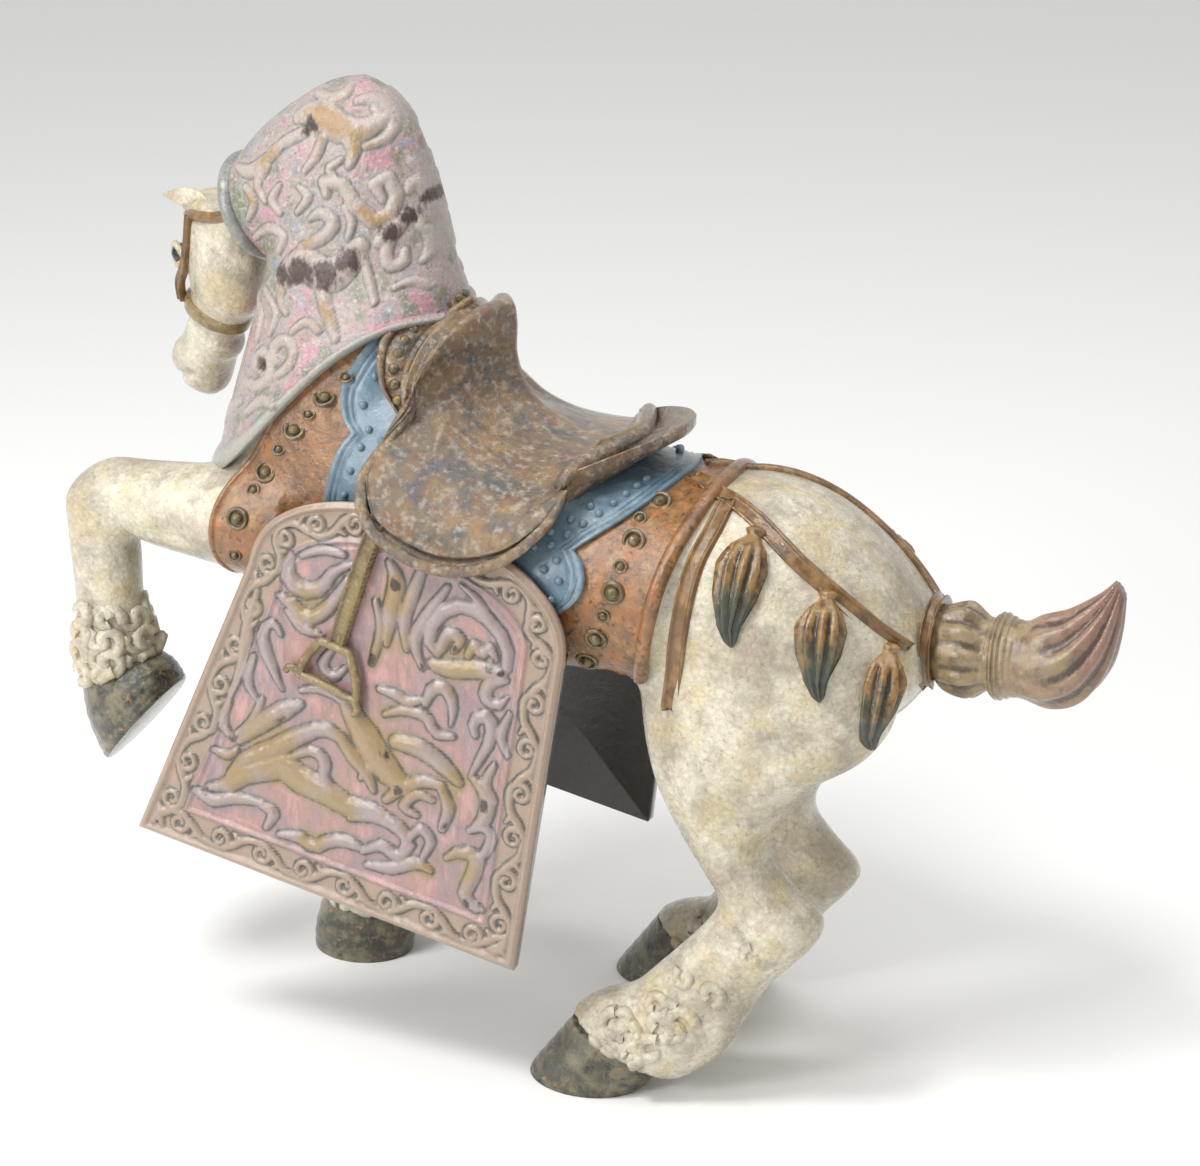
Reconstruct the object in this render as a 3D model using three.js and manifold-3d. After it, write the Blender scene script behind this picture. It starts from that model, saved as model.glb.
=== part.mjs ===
// A glazed porcelain figurine of a saddled, prancing horse, cast in one piece.
// The horse faces -X, its left side is towards -Y, and it stands on +Z = 0 on three hooves.
// Lengths are millimetres. The pose is drawn at drawnHeight and scaled to figureHeight.
import * as THREE from "three";
import { mergeVertices } from "three/addons/utils/BufferGeometryUtils.js";
import Module from "manifold-3d";

// Driving dimensions
const figureHeight = 451;
const drawnHeight = 451;
const headTurn = THREE.MathUtils.degToRad(32);
const flapWidth = 196; // along its lower edge
const flapHeight = 195;
const flapShoulder = 147; // height at which the arched top begins
const flapThickness = 6;
const flapBorder = 18;
const flapTilt = THREE.MathUtils.degToRad(11.3); // the flaps hang square to the sloping back
const flapFlare = THREE.MathUtils.degToRad(4);
const clothThickness = 2.6;
const saddleRim = 7;
const strapWidth = 9;
const strapThickness = 2.2;
const bossDiameter = 10;
const bossHeight = 2.6;
const reliefHeight = 2.4;
const reliefWidth = 5;
const tasselLength = 44;
const tasselWidth = 19;
const stirrupWidth = 30;
const bedding = 3; // how deep applied clay is sunk in what carries it

const scale = figureHeight / drawnHeight;

const wasm = await Module();
wasm.setup();

// Solids

function geometryOf(points, triangles) {
  const g = new THREE.BufferGeometry();
  g.setAttribute("position", new THREE.Float32BufferAttribute(points.flatMap((p) => [p.x, p.y, p.z]), 3));
  g.setIndex(triangles.flat());
  return g;
}

function solid(geometry) {
  const g = geometry.clone();
  g.deleteAttribute("normal");
  g.deleteAttribute("uv");
  const merged = mergeVertices(g, 1e-4);
  const vertProperties = new Float32Array(merged.attributes.position.array);
  const triVerts = new Uint32Array(merged.index.array);
  const make = () => new wasm.Manifold(new wasm.Mesh({ numProp: 3, vertProperties, triVerts }));
  const made = make();
  if (made.volume() > 0) return made;
  for (let i = 0; i < triVerts.length; i += 3) [triVerts[i + 1], triVerts[i + 2]] = [triVerts[i + 2], triVerts[i + 1]];
  return make();
}

function meshOf(manifold) {
  const { vertProperties, triVerts, numProp, numVert } = manifold.getMesh();
  const position = new Float32Array(numVert * 3);
  for (let i = 0; i < numVert; i++) position.set(vertProperties.subarray(i * numProp, i * numProp + 3), i * 3);
  const g = new THREE.BufferGeometry();
  g.setAttribute("position", new THREE.BufferAttribute(position, 3));
  g.setIndex(new THREE.BufferAttribute(new Uint32Array(triVerts), 1));
  return g;
}

// Rings of points, all of one length, joined into a closed skin with capped ends,
// or into a closed loop.
function skin(rings, loop = false) {
  const n = rings[0].length;
  const points = rings.flat();
  const triangles = [];
  for (let i = 0; i < rings.length - (loop ? 0 : 1); i++) {
    const next = (i + 1) % rings.length;
    for (let j = 0; j < n; j++) {
      const k = (j + 1) % n;
      const [a, b, c, d] = [i * n + j, i * n + k, next * n + k, next * n + j];
      triangles.push([a, b, c], [a, c, d]);
    }
  }
  if (loop) return geometryOf(points, triangles);
  const cap = (ring, start, flip) => {
    for (let j = 0; j < n; j++) {
      let corner = start;
      if (n > 4) {
        if (j === 0) points.push(ring.reduce((s, p) => s.add(p), new THREE.Vector3()).divideScalar(n));
        corner = points.length - 1;
      } else if (j === 0 || j === n - 1) continue;
      const pair = [start + j, start + ((j + 1) % n)];
      triangles.push([corner, ...(flip ? pair.reverse() : pair)]);
    }
  };
  cap(rings[0], 0, true);
  cap(rings.at(-1), (rings.length - 1) * n, false);
  return geometryOf(points, triangles);
}

const catmull = (a, b, c, d, t) =>
  0.5 * (2 * b + (c - a) * t + (2 * a - 5 * b + 4 * c - d) * t * t + (3 * b - a - 3 * c + d) * t * t * t);

// A form between two outlines in side view. Each station is
// [front x, front z, back x, back z, middle y, half width, egg, arch],
// where egg above 0 narrows the back, and arch lifts the flanks.
function form(stations, { sides = 16, steps = 2, squareness = 2, lobes = 0, depth = 0, twist = 0 } = {}) {
  const rings = [];
  const last = stations.length - 1;
  for (let s = 0; s <= last * steps; s++) {
    const i = Math.min(Math.floor(s / steps), last - 1);
    const t = s / steps - i;
    const pick = [Math.max(i - 1, 0), i, i + 1, Math.min(i + 2, last)].map((k) => stations[k]);
    const [fx, fz, bx, bz, y, w, egg, arch] = [0, 1, 2, 3, 4, 5, 6, 7].map(
      (c) => (c === 6 ? 1 : scale) * catmull(...pick.map((p) => p[c] ?? 0), t),
    );
    const ring = [];
    for (let j = 0; j < sides; j++) {
      const phi = (2 * Math.PI * j) / sides;
      const power = 2 / squareness;
      const c = Math.sign(Math.cos(phi)) * Math.abs(Math.cos(phi)) ** power;
      const d = Math.sign(Math.sin(phi)) * Math.abs(Math.sin(phi)) ** power;
      const r = 1 + depth * Math.cos(lobes * phi + (twist * s) / steps);
      const u = 0.5 + 0.5 * c * r;
      const z = fz + (bz - fz) * u + arch * d * d * (0.4 + c);
      ring.push(new THREE.Vector3(fx + (bx - fx) * u, y + w * d * r * (1 - egg * c), z));
    }
    rings.push(ring);
  }
  return skin(rings);
}

// Body

const trunk = [
  [-176, 268, -176, 246, 0, 22],
  [-170, 290, -171, 230, 0, 41],
  [-150, 312, -160, 213, 0, 54],
  [-118, 331, -128, 203, 0, 61],
  [-85, 333, -92, 196, 0, 65],
  [-45, 302, -52, 191, 0, 67],
  [-5, 290, -12, 191, 0, 67],
  [40, 286, 14, 192, 0, 65.5],
  [46, 288, 19, 189.5, 0, 67],
  [51, 286, 25, 191, 0, 65],
  [53, 282, 27, 195, 0, 61],
];
const rump = [
  [20, 284, 5, 198, 0, 57],
  [45, 286, 32, 188, 0, 59],
  [72, 286, 58, 178, 0, 60],
  [97, 278, 85, 172, 0, 59],
  [120, 261, 110, 176, 0, 53],
  [136, 243, 134, 188, 0, 42],
  [147, 229, 148, 206, 0, 24],
];
const hindLeft = [
  [40, 250, 118, 250, -30, 25],
  [24, 212, 141, 205, -33, 29],
  [24, 185, 131, 178, -36, 29],
  [31, 157, 106, 160, -39, 26],
  [43, 136, 90, 139, -42, 21],
  [55, 119, 87, 126, -44, 18],
  [65, 103, 98, 112, -45, 17],
  [62, 93, 115, 98, -46, 17],
  [52, 80, 109, 83, -47, 17],
  [38, 65, 92, 64, -48, 16.5],
  [24, 51, 81, 45, -50, 17],
  [9, 45, 70, 25, -51, 19],
  [-5, 35, 50, 8, -52, 20],
];
const hindRight = [
  [40, 250, 118, 250, 30, 25],
  [24, 212, 141, 205, 33, 29],
  [22, 180, 129, 175, 36, 29],
  [28, 150, 103, 152, 38, 26],
  [38, 126, 86, 127, 39, 21],
  [50, 106, 81, 110, 40, 18],
  [56, 90, 92, 96, 40, 17],
  [54, 79, 105, 82, 41, 17],
  [44, 68, 98, 68, 44, 17],
  [32, 55, 85, 52, 48, 16.5],
  [22, 46, 75, 35, 52, 17],
  [7, 41, 66, 18, 55, 19],
  [-5, 33, 48, 7, 57, 20],
];
const hindHoof = [
  [-3, 32, 40, 16, 0, 18],
  [-13, 18, 37, 8, 0, 21],
  [-23, 4, 33, 2.5, 0, 22.5],
  [-25, 0, 31, 0, 0, 22],
];
const foreRaised = [
  [-140, 282, -140, 222, -40, 26],
  [-172, 276, -168, 226, -43, 25],
  [-200, 273, -198, 229, -42, 22],
  [-226, 271, -221, 232, -41, 19.5],
  [-247, 269, -231, 237, -40, 19],
  [-261, 259, -233, 235, -40, 18.5],
  [-266, 244, -233, 231, -40, 18],
  [-266, 222, -232, 219, -40, 16.5],
  [-265, 197, -232, 199, -40, 16],
  [-268, 178, -228, 186, -40, 18],
  [-268, 163, -226, 175, -40, 18.5],
  [-263, 152, -228, 171, -40, 18],
];
const raisedHoof = [
  [-264, 154, -228, 174, -40, 18],
  [-261, 137, -219, 170, -40, 22],
  [-253, 119, -214, 163, -40, 23.5],
  [-250, 117, -214, 160, -40, 22.5],
];
const foreStanding = [
  [-165, 250, -100, 250, 32, 26],
  [-168, 225, -112, 215, 32, 24],
  [-166, 195, -124, 185, 31, 20],
  [-165, 160, -130, 155, 30, 16.5],
  [-168, 130, -130, 128, 30, 18],
  [-165, 112, -133, 112, 30, 15.5],
  [-163, 80, -135, 80, 29, 14],
  [-165, 58, -130, 55, 29, 16],
  [-168, 42, -126, 40, 28, 18],
  [-172, 28, -124, 24, 28, 19],
];
const standingHoof = [
  [-172, 30, -128, 26, 28, 19],
  [-177, 12, -126, 10, 28, 22],
  [-178, 0, -127, 0, 28, 22],
];
const neckRoot = [
  [-199, 282, -86, 352, 0, 47, 0.1, 16],
  [-196, 262, -78, 340, 0, 53, 0.1, 12],
  [-186, 244, -66, 318, 0, 57, 0.05, 4],
  [-172, 228, -62, 290, 0, 58],
];
const neckCover = [
  [-202, 264, -78, 346, 0, 58, 0.12, 24],
  [-192, 300, -80, 358, 0, 50, 0.14, 14],
  [-183, 330, -83, 368, 0, 43, 0.16, 6],
  [-178, 350, -86, 380, 1, 38, 0.16],
  [-176, 357, -92, 404, 2, 35, 0.18],
  [-175, 361, -102, 430, 3, 33, 0.18],
  [-175, 361, -113, 444, 4, 32, 0.18],
  [-175, 362, -127, 451, 5, 31, 0.18],
  [-176, 363, -142, 449, 6, 30, 0.16],
  [-176, 363, -156, 442, 6, 29, 0.15],
  [-177, 364, -178, 426, 7, 27, 0.1],
  [-178, 365, -196, 406, 8, 26, 0],
];
// The head is drawn facing -X about the throat at x = 0 and turned afterwards.
const throat = new THREE.Vector3(-198, 9, 0);
const head = [
  [-26, 388, 24, 380, 0, 15],
  [-35, 376, 12, 370, 0, 17],
  [-38, 359, 12, 352, 0, 17],
  [-36, 343, 8, 336, 0, 14.5],
  [-37.5, 330, -6, 322, 0, 12.5],
  [-44, 318, -14, 309, 0, 12.5],
  [-53, 306, -20, 298, 0, 14],
  [-53, 295, -25, 288, 0, 12],
  [-45, 289, -31, 284, 0, 6],
];
const tail = [
  [140, 236, 146, 210, 0, 12],
  [152, 238, 154, 201, 0, 17],
  [163, 240, 166, 199, 0, 20],
  [172, 235, 174, 203, 0, 17],
  [178, 238, 179, 200, 0, 19],
  [187, 236, 189, 202, 0, 18],
  [196, 240, 203, 200, 0, 20],
  [206, 243, 217, 206, 0, 19],
  [215, 249, 227, 221, 0, 14],
  [222, 255, 231, 238, 0, 9],
  [227, 261, 232, 254, 0, 4],
];

const placed = (geometry, x, y) => geometry.translate(x * scale, y * scale, 0);
const mirrored = (geometry) => geometry.clone().scale(1, -1, 1);
const turnedHead = (geometry) =>
  geometry.clone().rotateZ(-headTurn).translate(throat.x * scale, throat.y * scale, 0);
const bodyForms = [
  form(trunk, { sides: 16, squareness: 2.25, steps: 1 }),
  form(rump, { sides: 14, squareness: 2.1, steps: 1 }),
  form(hindLeft, { sides: 10, steps: 1 }),
  form(hindRight, { sides: 10, steps: 1 }),
  placed(form(hindHoof, { sides: 10, steps: 1 }), 0, -52),
  placed(form(hindHoof, { sides: 10, steps: 1 }), 0, 58),
  form(foreRaised, { sides: 10, steps: 1 }),
  form(raisedHoof, { sides: 10, steps: 1 }),
  form(foreStanding, { sides: 10, steps: 1 }),
  form(standingHoof, { sides: 10, steps: 1 }),
  form(neckRoot, { sides: 12, steps: 1 }),
  form(neckCover, { sides: 14, steps: 1 }),
  form(tail, { sides: 10, lobes: 5, depth: 0.05, twist: 0.5, steps: 1 }),
  turnedHead(form(head, { sides: 12, steps: 1 })),
];
const union = (geometries) => geometries.map(solid).reduce((whole, piece) => whole.add(piece));
const body = union(bodyForms);

// Things laid on the body

const bodyMesh = new THREE.Mesh(meshOf(body), new THREE.MeshBasicMaterial({ side: THREE.DoubleSide }));
const caster = new THREE.Raycaster();
const point = (x, y, z) => new THREE.Vector3(x, y, z).multiplyScalar(scale);

// The place on the body's skin that lies outward of its axis towards (x, y, z).
// The axis sinks towards the tail.
function settle([x, y, z], axisHeight = 245 - 0.33 * Math.max(x - 60, 0)) {
  const axis = point(x, 0, axisHeight);
  const out = point(x, y, z).sub(axis).normalize();
  caster.set(axis.addScaledVector(out, 400 * scale), out.clone().negate());
  return { p: caster.intersectObject(bodyMesh)[0].point, n: out };
}
const settleOnNeck = ([x, y, z]) => {
  const on = settle([x, y, z], z);
  on.n.set(on.p.x + 133 * scale, on.p.y * 2, 0).normalize();
  return on;
};

// Evenly spread places along a smooth line through a few control points.
function trace(points, count, place) {
  const last = points.length - 1;
  return Array.from({ length: count + 1 }, (_, s) => {
    const at = (s / count) * last;
    const i = Math.min(Math.floor(at), last - 1);
    const pick = [Math.max(i - 1, 0), i, i + 1, Math.min(i + 2, last)].map((k) => points[k]);
    return place(points[0].map((_, c) => catmull(...pick.map((p) => p[c]), at - i)));
  });
}

// A raised strip along places that each have a point p, a normal n and perhaps a width share w.
function ridge(places, { width, height, flat = 0, depth = bedding, end = 0.35, loop = false }) {
  const last = places.length - 1;
  const rings = places.map(({ p, n, w = 1 }, i) => {
    const before = places[loop ? (i + last) % (last + 1) : Math.max(i - 1, 0)].p;
    const after = places[loop ? (i + 1) % (last + 1) : Math.min(i + 1, last)].p;
    const side = new THREE.Vector3().crossVectors(n, after.clone().sub(before)).normalize();
    const share = !loop && (i === 0 || i === last) ? end : 1;
    const half = (width / 2) * w * share * scale;
    const at = (across, up) => p.clone().addScaledVector(side, across * half).addScaledVector(n, up * scale);
    const top = height * (0.5 + 0.5 * share);
    const foot = 1 + (depth / top) * (1 - flat);
    return flat
      ? [at(-foot, -depth), at(-flat, top), at(flat, top), at(foot, -depth)]
      : [at(-foot, -depth), at(0, top), at(foot, -depth)];
  });
  return skin(rings, loop);
}

// A low round stud.
function boss({ p, n }, diameter = bossDiameter, height = bossHeight) {
  const g = new THREE.CylinderGeometry(diameter * 0.3, diameter * 0.62, height + bedding, 5);
  g.translate(0, (height - bedding) / 2, 0).scale(scale, scale, scale);
  g.applyQuaternion(new THREE.Quaternion().setFromUnitVectors(new THREE.Vector3(0, 1, 0), n));
  return g.translate(p.x, p.y, p.z);
}

// A layer of cloth between two edges that both run from one flank over the back to the other.
// Each edge gives [x, degrees from the top] for a share t from -1 to 1.
function cloth(edges, along, across) {
  const rings = [];
  for (let s = 0; s <= along; s++) {
    const t = (2 * s) / along - 1;
    const [a, b] = edges.map((edge) => edge(t));
    const places = Array.from({ length: across + 1 }, (_, k) => {
      const [x, angle] = a.map((v, c) => v + ((b[c] - v) * k) / across);
      const turn = THREE.MathUtils.degToRad(angle);
      return settle([x, Math.sin(turn) * 10, 245 + Math.cos(turn) * 10]);
    });
    const lift = (height) => ({ p, n }) => p.clone().addScaledVector(n, height * scale);
    rings.push([...places.map(lift(clothThickness)), ...places.map(lift(-2 * bedding)).reverse()]);
  }
  return skin(rings);
}
const shareOf = (points, t) => {
  const at = Math.abs(t) * (points.length - 1);
  const i = Math.min(Math.floor(at), points.length - 2);
  return points[i].map((v, c) => v + (points[i + 1][c] - v) * (at - i));
};
const edgeOf = (points) => (t) => {
  const [x, angle] = shareOf(points, t);
  return [x, Math.sign(t) * angle];
};

const frontCloth = cloth(
  [
    edgeOf([[-84, 0], [-84, 30], [-90, 60], [-90, 80], [-90, 100], [-90, 122]]),
    edgeOf([[-90, 0], [-101, 18], [-116, 34], [-109, 43], [-118, 56], [-122, 74], [-120, 90], [-124, 110]]),
  ],
  16,
  1,
);
const rearCloth = cloth(
  [
    edgeOf([[4, 0], [2, 30], [-6, 60], [-20, 80], [-30, 100]]),
    edgeOf([[34, 0], [31, 22], [24, 47], [12, 62], [-1, 71], [6, 80], [5, 92], [-10, 98]]),
  ],
  12,
  1,
);

// Saddle. From pommel to cantle, each station gives the ridge [x, z] over the spine
// and the lower edge [x, y, z] on the near side.
const saddleStations = [
  [-78, 349, -86, 50, 314, 2],
  [-69, 351, -83, 51, 313, 2],
  [-62, 356, -82, 52, 312, 2],
  [-54, 355, -82, 54, 311, 2],
  [-52, 346, -85, 57, 306, 2.05],
  [-52, 331, -92, 62, 296, 2.1],
  [-47, 317, -95, 71, 279, 2.1],
  [-39, 308, -84, 78, 262, 2.1],
  [-28, 302, -56, 81, 252, 2.1],
  [-16, 299, -29, 79, 258, 2.1],
  [-5, 298, -12, 70, 274, 2.15],
  [4, 301, -8, 60, 287, 2.2],
  [11, 302, -11, 53, 294, 2.2],
];
function onSaddle(at, share) {
  const last = saddleStations.length - 1;
  const i = Math.min(Math.floor(at), last - 1);
  const pick = [Math.max(i - 1, 0), i, i + 1, Math.min(i + 2, last)].map((k) => saddleStations[k]);
  const [rx, rz, ex, ey, ez, square] = [0, 1, 2, 3, 4, 5].map((c) => catmull(...pick.map((p) => p[c]), at - i));
  const angle = (Math.abs(share) * Math.PI) / 2;
  const power = 2 / square;
  const fall = 1 - Math.cos(angle) ** power;
  return point(rx + (ex - rx) * Math.sin(angle), Math.sign(share) * ey * Math.sin(angle) ** power, rz + (ez - rz) * fall);
}
const saddleSides = [1, 0.965, 0.93, 0.87, 0.66, 0.44, 0.22];
const saddleShares = [...saddleSides.map((v) => -v), 0, ...saddleSides.toReversed()];
const rimLift = (share, at) => {
  const onSkirt = at >= 2 ? saddleRim * 0.35 * (Math.abs(Math.abs(share) - 0.945) < 0.03) : 0;
  return Math.max(onSkirt, [1.8, 0, 0][at] ?? (at >= 11 ? 2.2 : 0));
};
const saddleRings = saddleStations.map((_, i) => {
  const ring = placesOnSaddle(saddleShares.map((share) => [i, share])).map(({ p, n }, j) =>
    p.addScaledVector(n, rimLift(saddleShares[j], i) * scale),
  );
  const inward = (edge) => new THREE.Vector3(edge.x, edge.y * 0.55, edge.z + scale);
  return [...ring, inward(ring.at(-1)), inward(ring[0])];
});
function placesOnSaddle(line) {
  return line.map(([at, share]) => {
    const p = onSaddle(at, share);
    const du = onSaddle(Math.min(at + 0.1, 12), share).sub(onSaddle(Math.max(at - 0.1, 0), share));
    const dv = onSaddle(at, Math.min(share + 0.02, 1)).sub(onSaddle(at, Math.max(share - 0.02, -1)));
    return { p, n: dv.cross(du).normalize().multiplyScalar(-1) };
  });
}
const span = (from, to, count) => Array.from({ length: count + 1 }, (_, i) => from + ((to - from) * i) / count);

// The board of the cantle flares up and back over the loins.
const cantleRings = span(-1, 1, 8).map((t) => {
  const rise = 1 - t * t;
  const root = point(2 - 14 * t * t, 52 * t, 282 + 11 * rise);
  const tip = point(31 - 41 * t ** 2, 52 * t, 291 + 16 * rise ** 0.8);
  const up = new THREE.Vector3(0, 0.35 * t, 1).normalize();
  const at = (p, lift) => p.clone().addScaledVector(up, lift * scale);
  const mid = root.clone().lerp(tip, 0.5).add(point(0, 0, -2));
  return [at(root, 4), at(mid, 4), at(tip, 1.5), at(tip, -1), at(mid, -1.5), at(root, -8)];
});

// Flaps, drawn flat: x along the lower edge towards the tail, y up the flap.
const flapFrame = new THREE.Matrix4()
  .makeBasis(
    new THREE.Vector3(Math.cos(flapTilt), 0, -Math.sin(flapTilt)),
    new THREE.Vector3(
      Math.sin(flapTilt) * Math.cos(flapFlare),
      Math.sin(flapFlare),
      Math.cos(flapTilt) * Math.cos(flapFlare),
    ),
    new THREE.Vector3(
      Math.sin(flapTilt) * Math.sin(flapFlare),
      -Math.cos(flapFlare),
      Math.cos(flapTilt) * Math.sin(flapFlare),
    ),
  )
  .setPosition(-211 * scale, -88 * scale, 106 * scale);
const flapPlace = ([x, y]) => ({
  p: new THREE.Vector3(x, y, 0).multiplyScalar(scale).applyMatrix4(flapFrame),
  n: new THREE.Vector3().setFromMatrixColumn(flapFrame, 2),
});

function flapLine(inset, arch = 8) {
  const lean = (height) => [31 * (height / 147) + inset * 1.02, flapWidth - 9 * (height / 147) - inset];
  const [left, right] = lean(flapShoulder);
  const points = [[lean(inset)[0], inset], [lean(inset)[1], inset]];
  const middle = (left + right) / 2;
  const half = (right - left) / 2;
  for (let i = 0; i <= arch; i++) {
    const angle = (Math.PI * i) / arch;
    points.push([
      middle + half * Math.cos(angle),
      flapShoulder + (flapHeight - flapShoulder - inset) * Math.sin(angle) ** 0.85,
    ]);
  }
  return points;
}

// The plate of a flap with the thin rims on both sides of its border, as nested outlines.
function flapPlate() {
  const steps = [
    [0.6, -flapThickness],
    [0, -1],
    [1.6, 1.8],
    [4, 0],
    [flapBorder - 2, 0],
    [flapBorder, 1.5],
    [flapBorder + 2, 0],
  ];
  const rings = steps.map(([inset, lift]) =>
    flapLine(inset).map((xy) => {
      const { p, n } = flapPlace(xy);
      return p.addScaledVector(n, lift * scale);
    }),
  );
  return skin(rings);
}

// A running beast, facing +x, half its length to a unit.
const beast = [
  { width: 0.62, line: [[-1.15, 0.3], [-0.5, 0.05], [0.55, 0.1], [1.25, 0.42]] },
  { width: 0.3, line: [[0.35, 0], [1.25, -0.22]] },
  { width: 0.3, line: [[-0.55, 0.05], [-0.85, -0.55]] },
];
function beastStrokes([x, y, size, turn, facing]) {
  const angle = THREE.MathUtils.degToRad(turn);
  return beast.map(({ width, line }) => ({
    width: width * size,
    line: line.map(([u, v]) => [
      x + size * (facing * u * Math.cos(angle) - v * Math.sin(angle)),
      y + size * (facing * u * Math.sin(angle) + v * Math.cos(angle)),
    ]),
  }));
}

// A curl: an arc that closes on itself, starting at (x, y) in the direction given.
function curl([x, y, size, turn, hand], count = 5) {
  const angle = THREE.MathUtils.degToRad(turn);
  return span(0, 1, count).map((t) => {
    const round = Math.PI * (0.5 - 1.55 * t);
    const r = 0.5 * (1 - 0.62 * t);
    const [u, v] = [0.5 - r * Math.sin(round) + 0.1, hand * (r * Math.cos(round))];
    return [x + size * (u * Math.cos(angle) - v * Math.sin(angle)), y + size * (u * Math.sin(angle) + v * Math.cos(angle))];
  });
}

const flapBeasts = [
  [90, 84, 32, -6, -1],
  [96, 45, 30, -8, -1],
  [142, 134, 21, -40, -1],
];
const flapCurls = [
  [64, 148, 22, 20, 1],
  [34, 92, 20, 80, 1],
];
const bandPitch = 62;
function bandCurls() {
  const line = flapLine(flapBorder / 2 + 1.5);
  const corner = line.map(([x, y], i) => {
    const [u, v] = line[(i + 1) % line.length];
    return Math.hypot(u - x, v - y);
  });
  const whole = corner.reduce((sum, v) => sum + v);
  const count = Math.round(whole / bandPitch);
  return Array.from({ length: count }, (_, k) => {
    let along = ((k + 0.3) / count) * whole;
    const i = corner.findIndex((v) => (along -= v) < 0);
    const [[x0, y0], [x1, y1]] = [line[i], line[(i + 1) % line.length]];
    const t = 1 + along / corner[i];
    const turn = THREE.MathUtils.radToDeg(Math.atan2(y1 - y0, x1 - x0));
    return [x0 + (x1 - x0) * t, y0 + (y1 - y0) * t, 22, turn, k % 2 ? 1 : -1];
  });
}
const onFlap = (line) => line.map(flapPlace);
const shallow = { depth: 1.2 };
const curlOnFlap = (c) => ridge(onFlap(curl(c, 4)), { width: reliefWidth, height: reliefHeight, ...shallow });
const beastOnFlap = (b) =>
  beastStrokes(b).map(({ width, line }) =>
    ridge(onFlap(line), { width, height: reliefHeight + 0.08 * width, ...shallow }),
  );
// The far flap is plainer: one beast and no scrolls in its border.
const nearRelief = [
  ...bandCurls().map((c) => ridge(onFlap(curl(c, 3)), { width: 4.4, height: 1.8, ...shallow })),
  ...flapBeasts.flatMap(beastOnFlap),
];
const farRelief = beastOnFlap(flapBeasts[0]);

// Behind its arched top each flap is bedded against the barrel.
const bedShape = new THREE.Shape(
  [[50, 118], [172, 118], [168, 150], [150, 172], [108, 184], [66, 172], [50, 150]].map(
    ([x, y]) => new THREE.Vector2(x, y).multiplyScalar(scale),
  ),
);
const flapBed = new THREE.ExtrudeGeometry(bedShape, { depth: 24 * scale, bevelEnabled: false })
  .translate(0, 0, -26 * scale)
  .applyMatrix4(flapFrame);

// Stirrup and its leather, lying on the flap
const lifted = (line, lift) => line.map((xy) => {
  const on = flapPlace(xy);
  on.p.addScaledVector(on.n, lift * scale);
  return on;
});
const stirrupForms = [
  ridge(lifted([[90, 190], [84, 152], [81, 124]], 0), { width: 10, height: 4.6, end: 1 }),
  ridge(lifted([[72, 121], [85, 124], [93, 117], [93, 99], [64, 102]], 0), {
    width: stirrupWidth * 0.15,
    height: 4.6,
    loop: true,
  }),
];

// Harness over the croup
const onSide = (points, side) => points.map(([x, y, z]) => [x, y * -side, z]);
const strap = (points, count) => ridge(trace(points, count, settle), {
  width: strapWidth,
  height: strapThickness,
  end: 1,
});
const crupper = [[36, -10, 290], [56, -23, 288], [76, -31, 277], [97, -39, 264], [116, -40, 251], [132, -36, 237], [143, -27, 226]];
const hipStrap = [[58, -26, 288], [57, -45, 279], [53, -53, 262], [50, -59, 240], [47, -58, 218], [45, -57, 197]];
// The two straps meet in a loop about the root of the tail.
const tailLoop = span(-2.4, 2.4, 6).map((angle) => ({
  p: point(148, 17.5 * Math.sin(angle), 221 + 18.5 * Math.cos(angle)),
  n: new THREE.Vector3(0.25, Math.sin(angle), Math.cos(angle)).normalize(),
}));
function tassel([from, to]) {
  const places = trace([from, to], 3, settle);
  const along = places[3].p.clone().sub(places[0].p);
  const rings = [0.35, 1, 0.85, 0.2].map((share, i) => {
    const { p, n } = places[i];
    const side = new THREE.Vector3().crossVectors(n, along).normalize();
    return Array.from({ length: 6 }, (_, k) => {
      const angle = (k * Math.PI) / 3;
      const half = (tasselWidth / 2) * share * scale;
      return p.clone().addScaledVector(side, half * Math.cos(angle)).addScaledVector(n, half * 0.8 * Math.sin(angle));
    });
  });
  return skin(rings);
}
const tasselLines = [
  [[76, -33, 275], [71, -56, 275 - tasselLength]],
  [[111, -41, 255], [111, -54, 255 - tasselLength]],
  [[138, -37, 233], [132, -43, 233 - tasselLength]],
];
const bossPlaces = [
  [-137, -50, 294],
  [-157, -62, 261],
  [26, -49, 280],
  [20, -62, 258],
  [13, -64, 230],
];

// Relief on the neck cover
const neckCurls = [
  [-112, 392, 21, 30, 1],
  [-172, 302, 18, 80, 1],
];
const neckBeasts = [
  [-140, 342, 23, 14, -1],
  [-128, 424, 20, 24, -1],
];
const neckLine = (line, y) => trace(line.map(([x, z]) => [x, y, z]), line.length - 1, settleOnNeck);
const neckForms = [-60, 60].flatMap((y) => [
  ...neckCurls.map((c) => ridge(neckLine(curl(c, 4), y), { width: reliefWidth, height: reliefHeight, depth: 2 })),
  ...neckBeasts.slice(0, y < 0 ? 2 : 0).flatMap(beastStrokes).map(({ width, line }) =>
    ridge(neckLine(line, y), { width, height: reliefHeight, depth: 2 }),
  ),
]);

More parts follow.
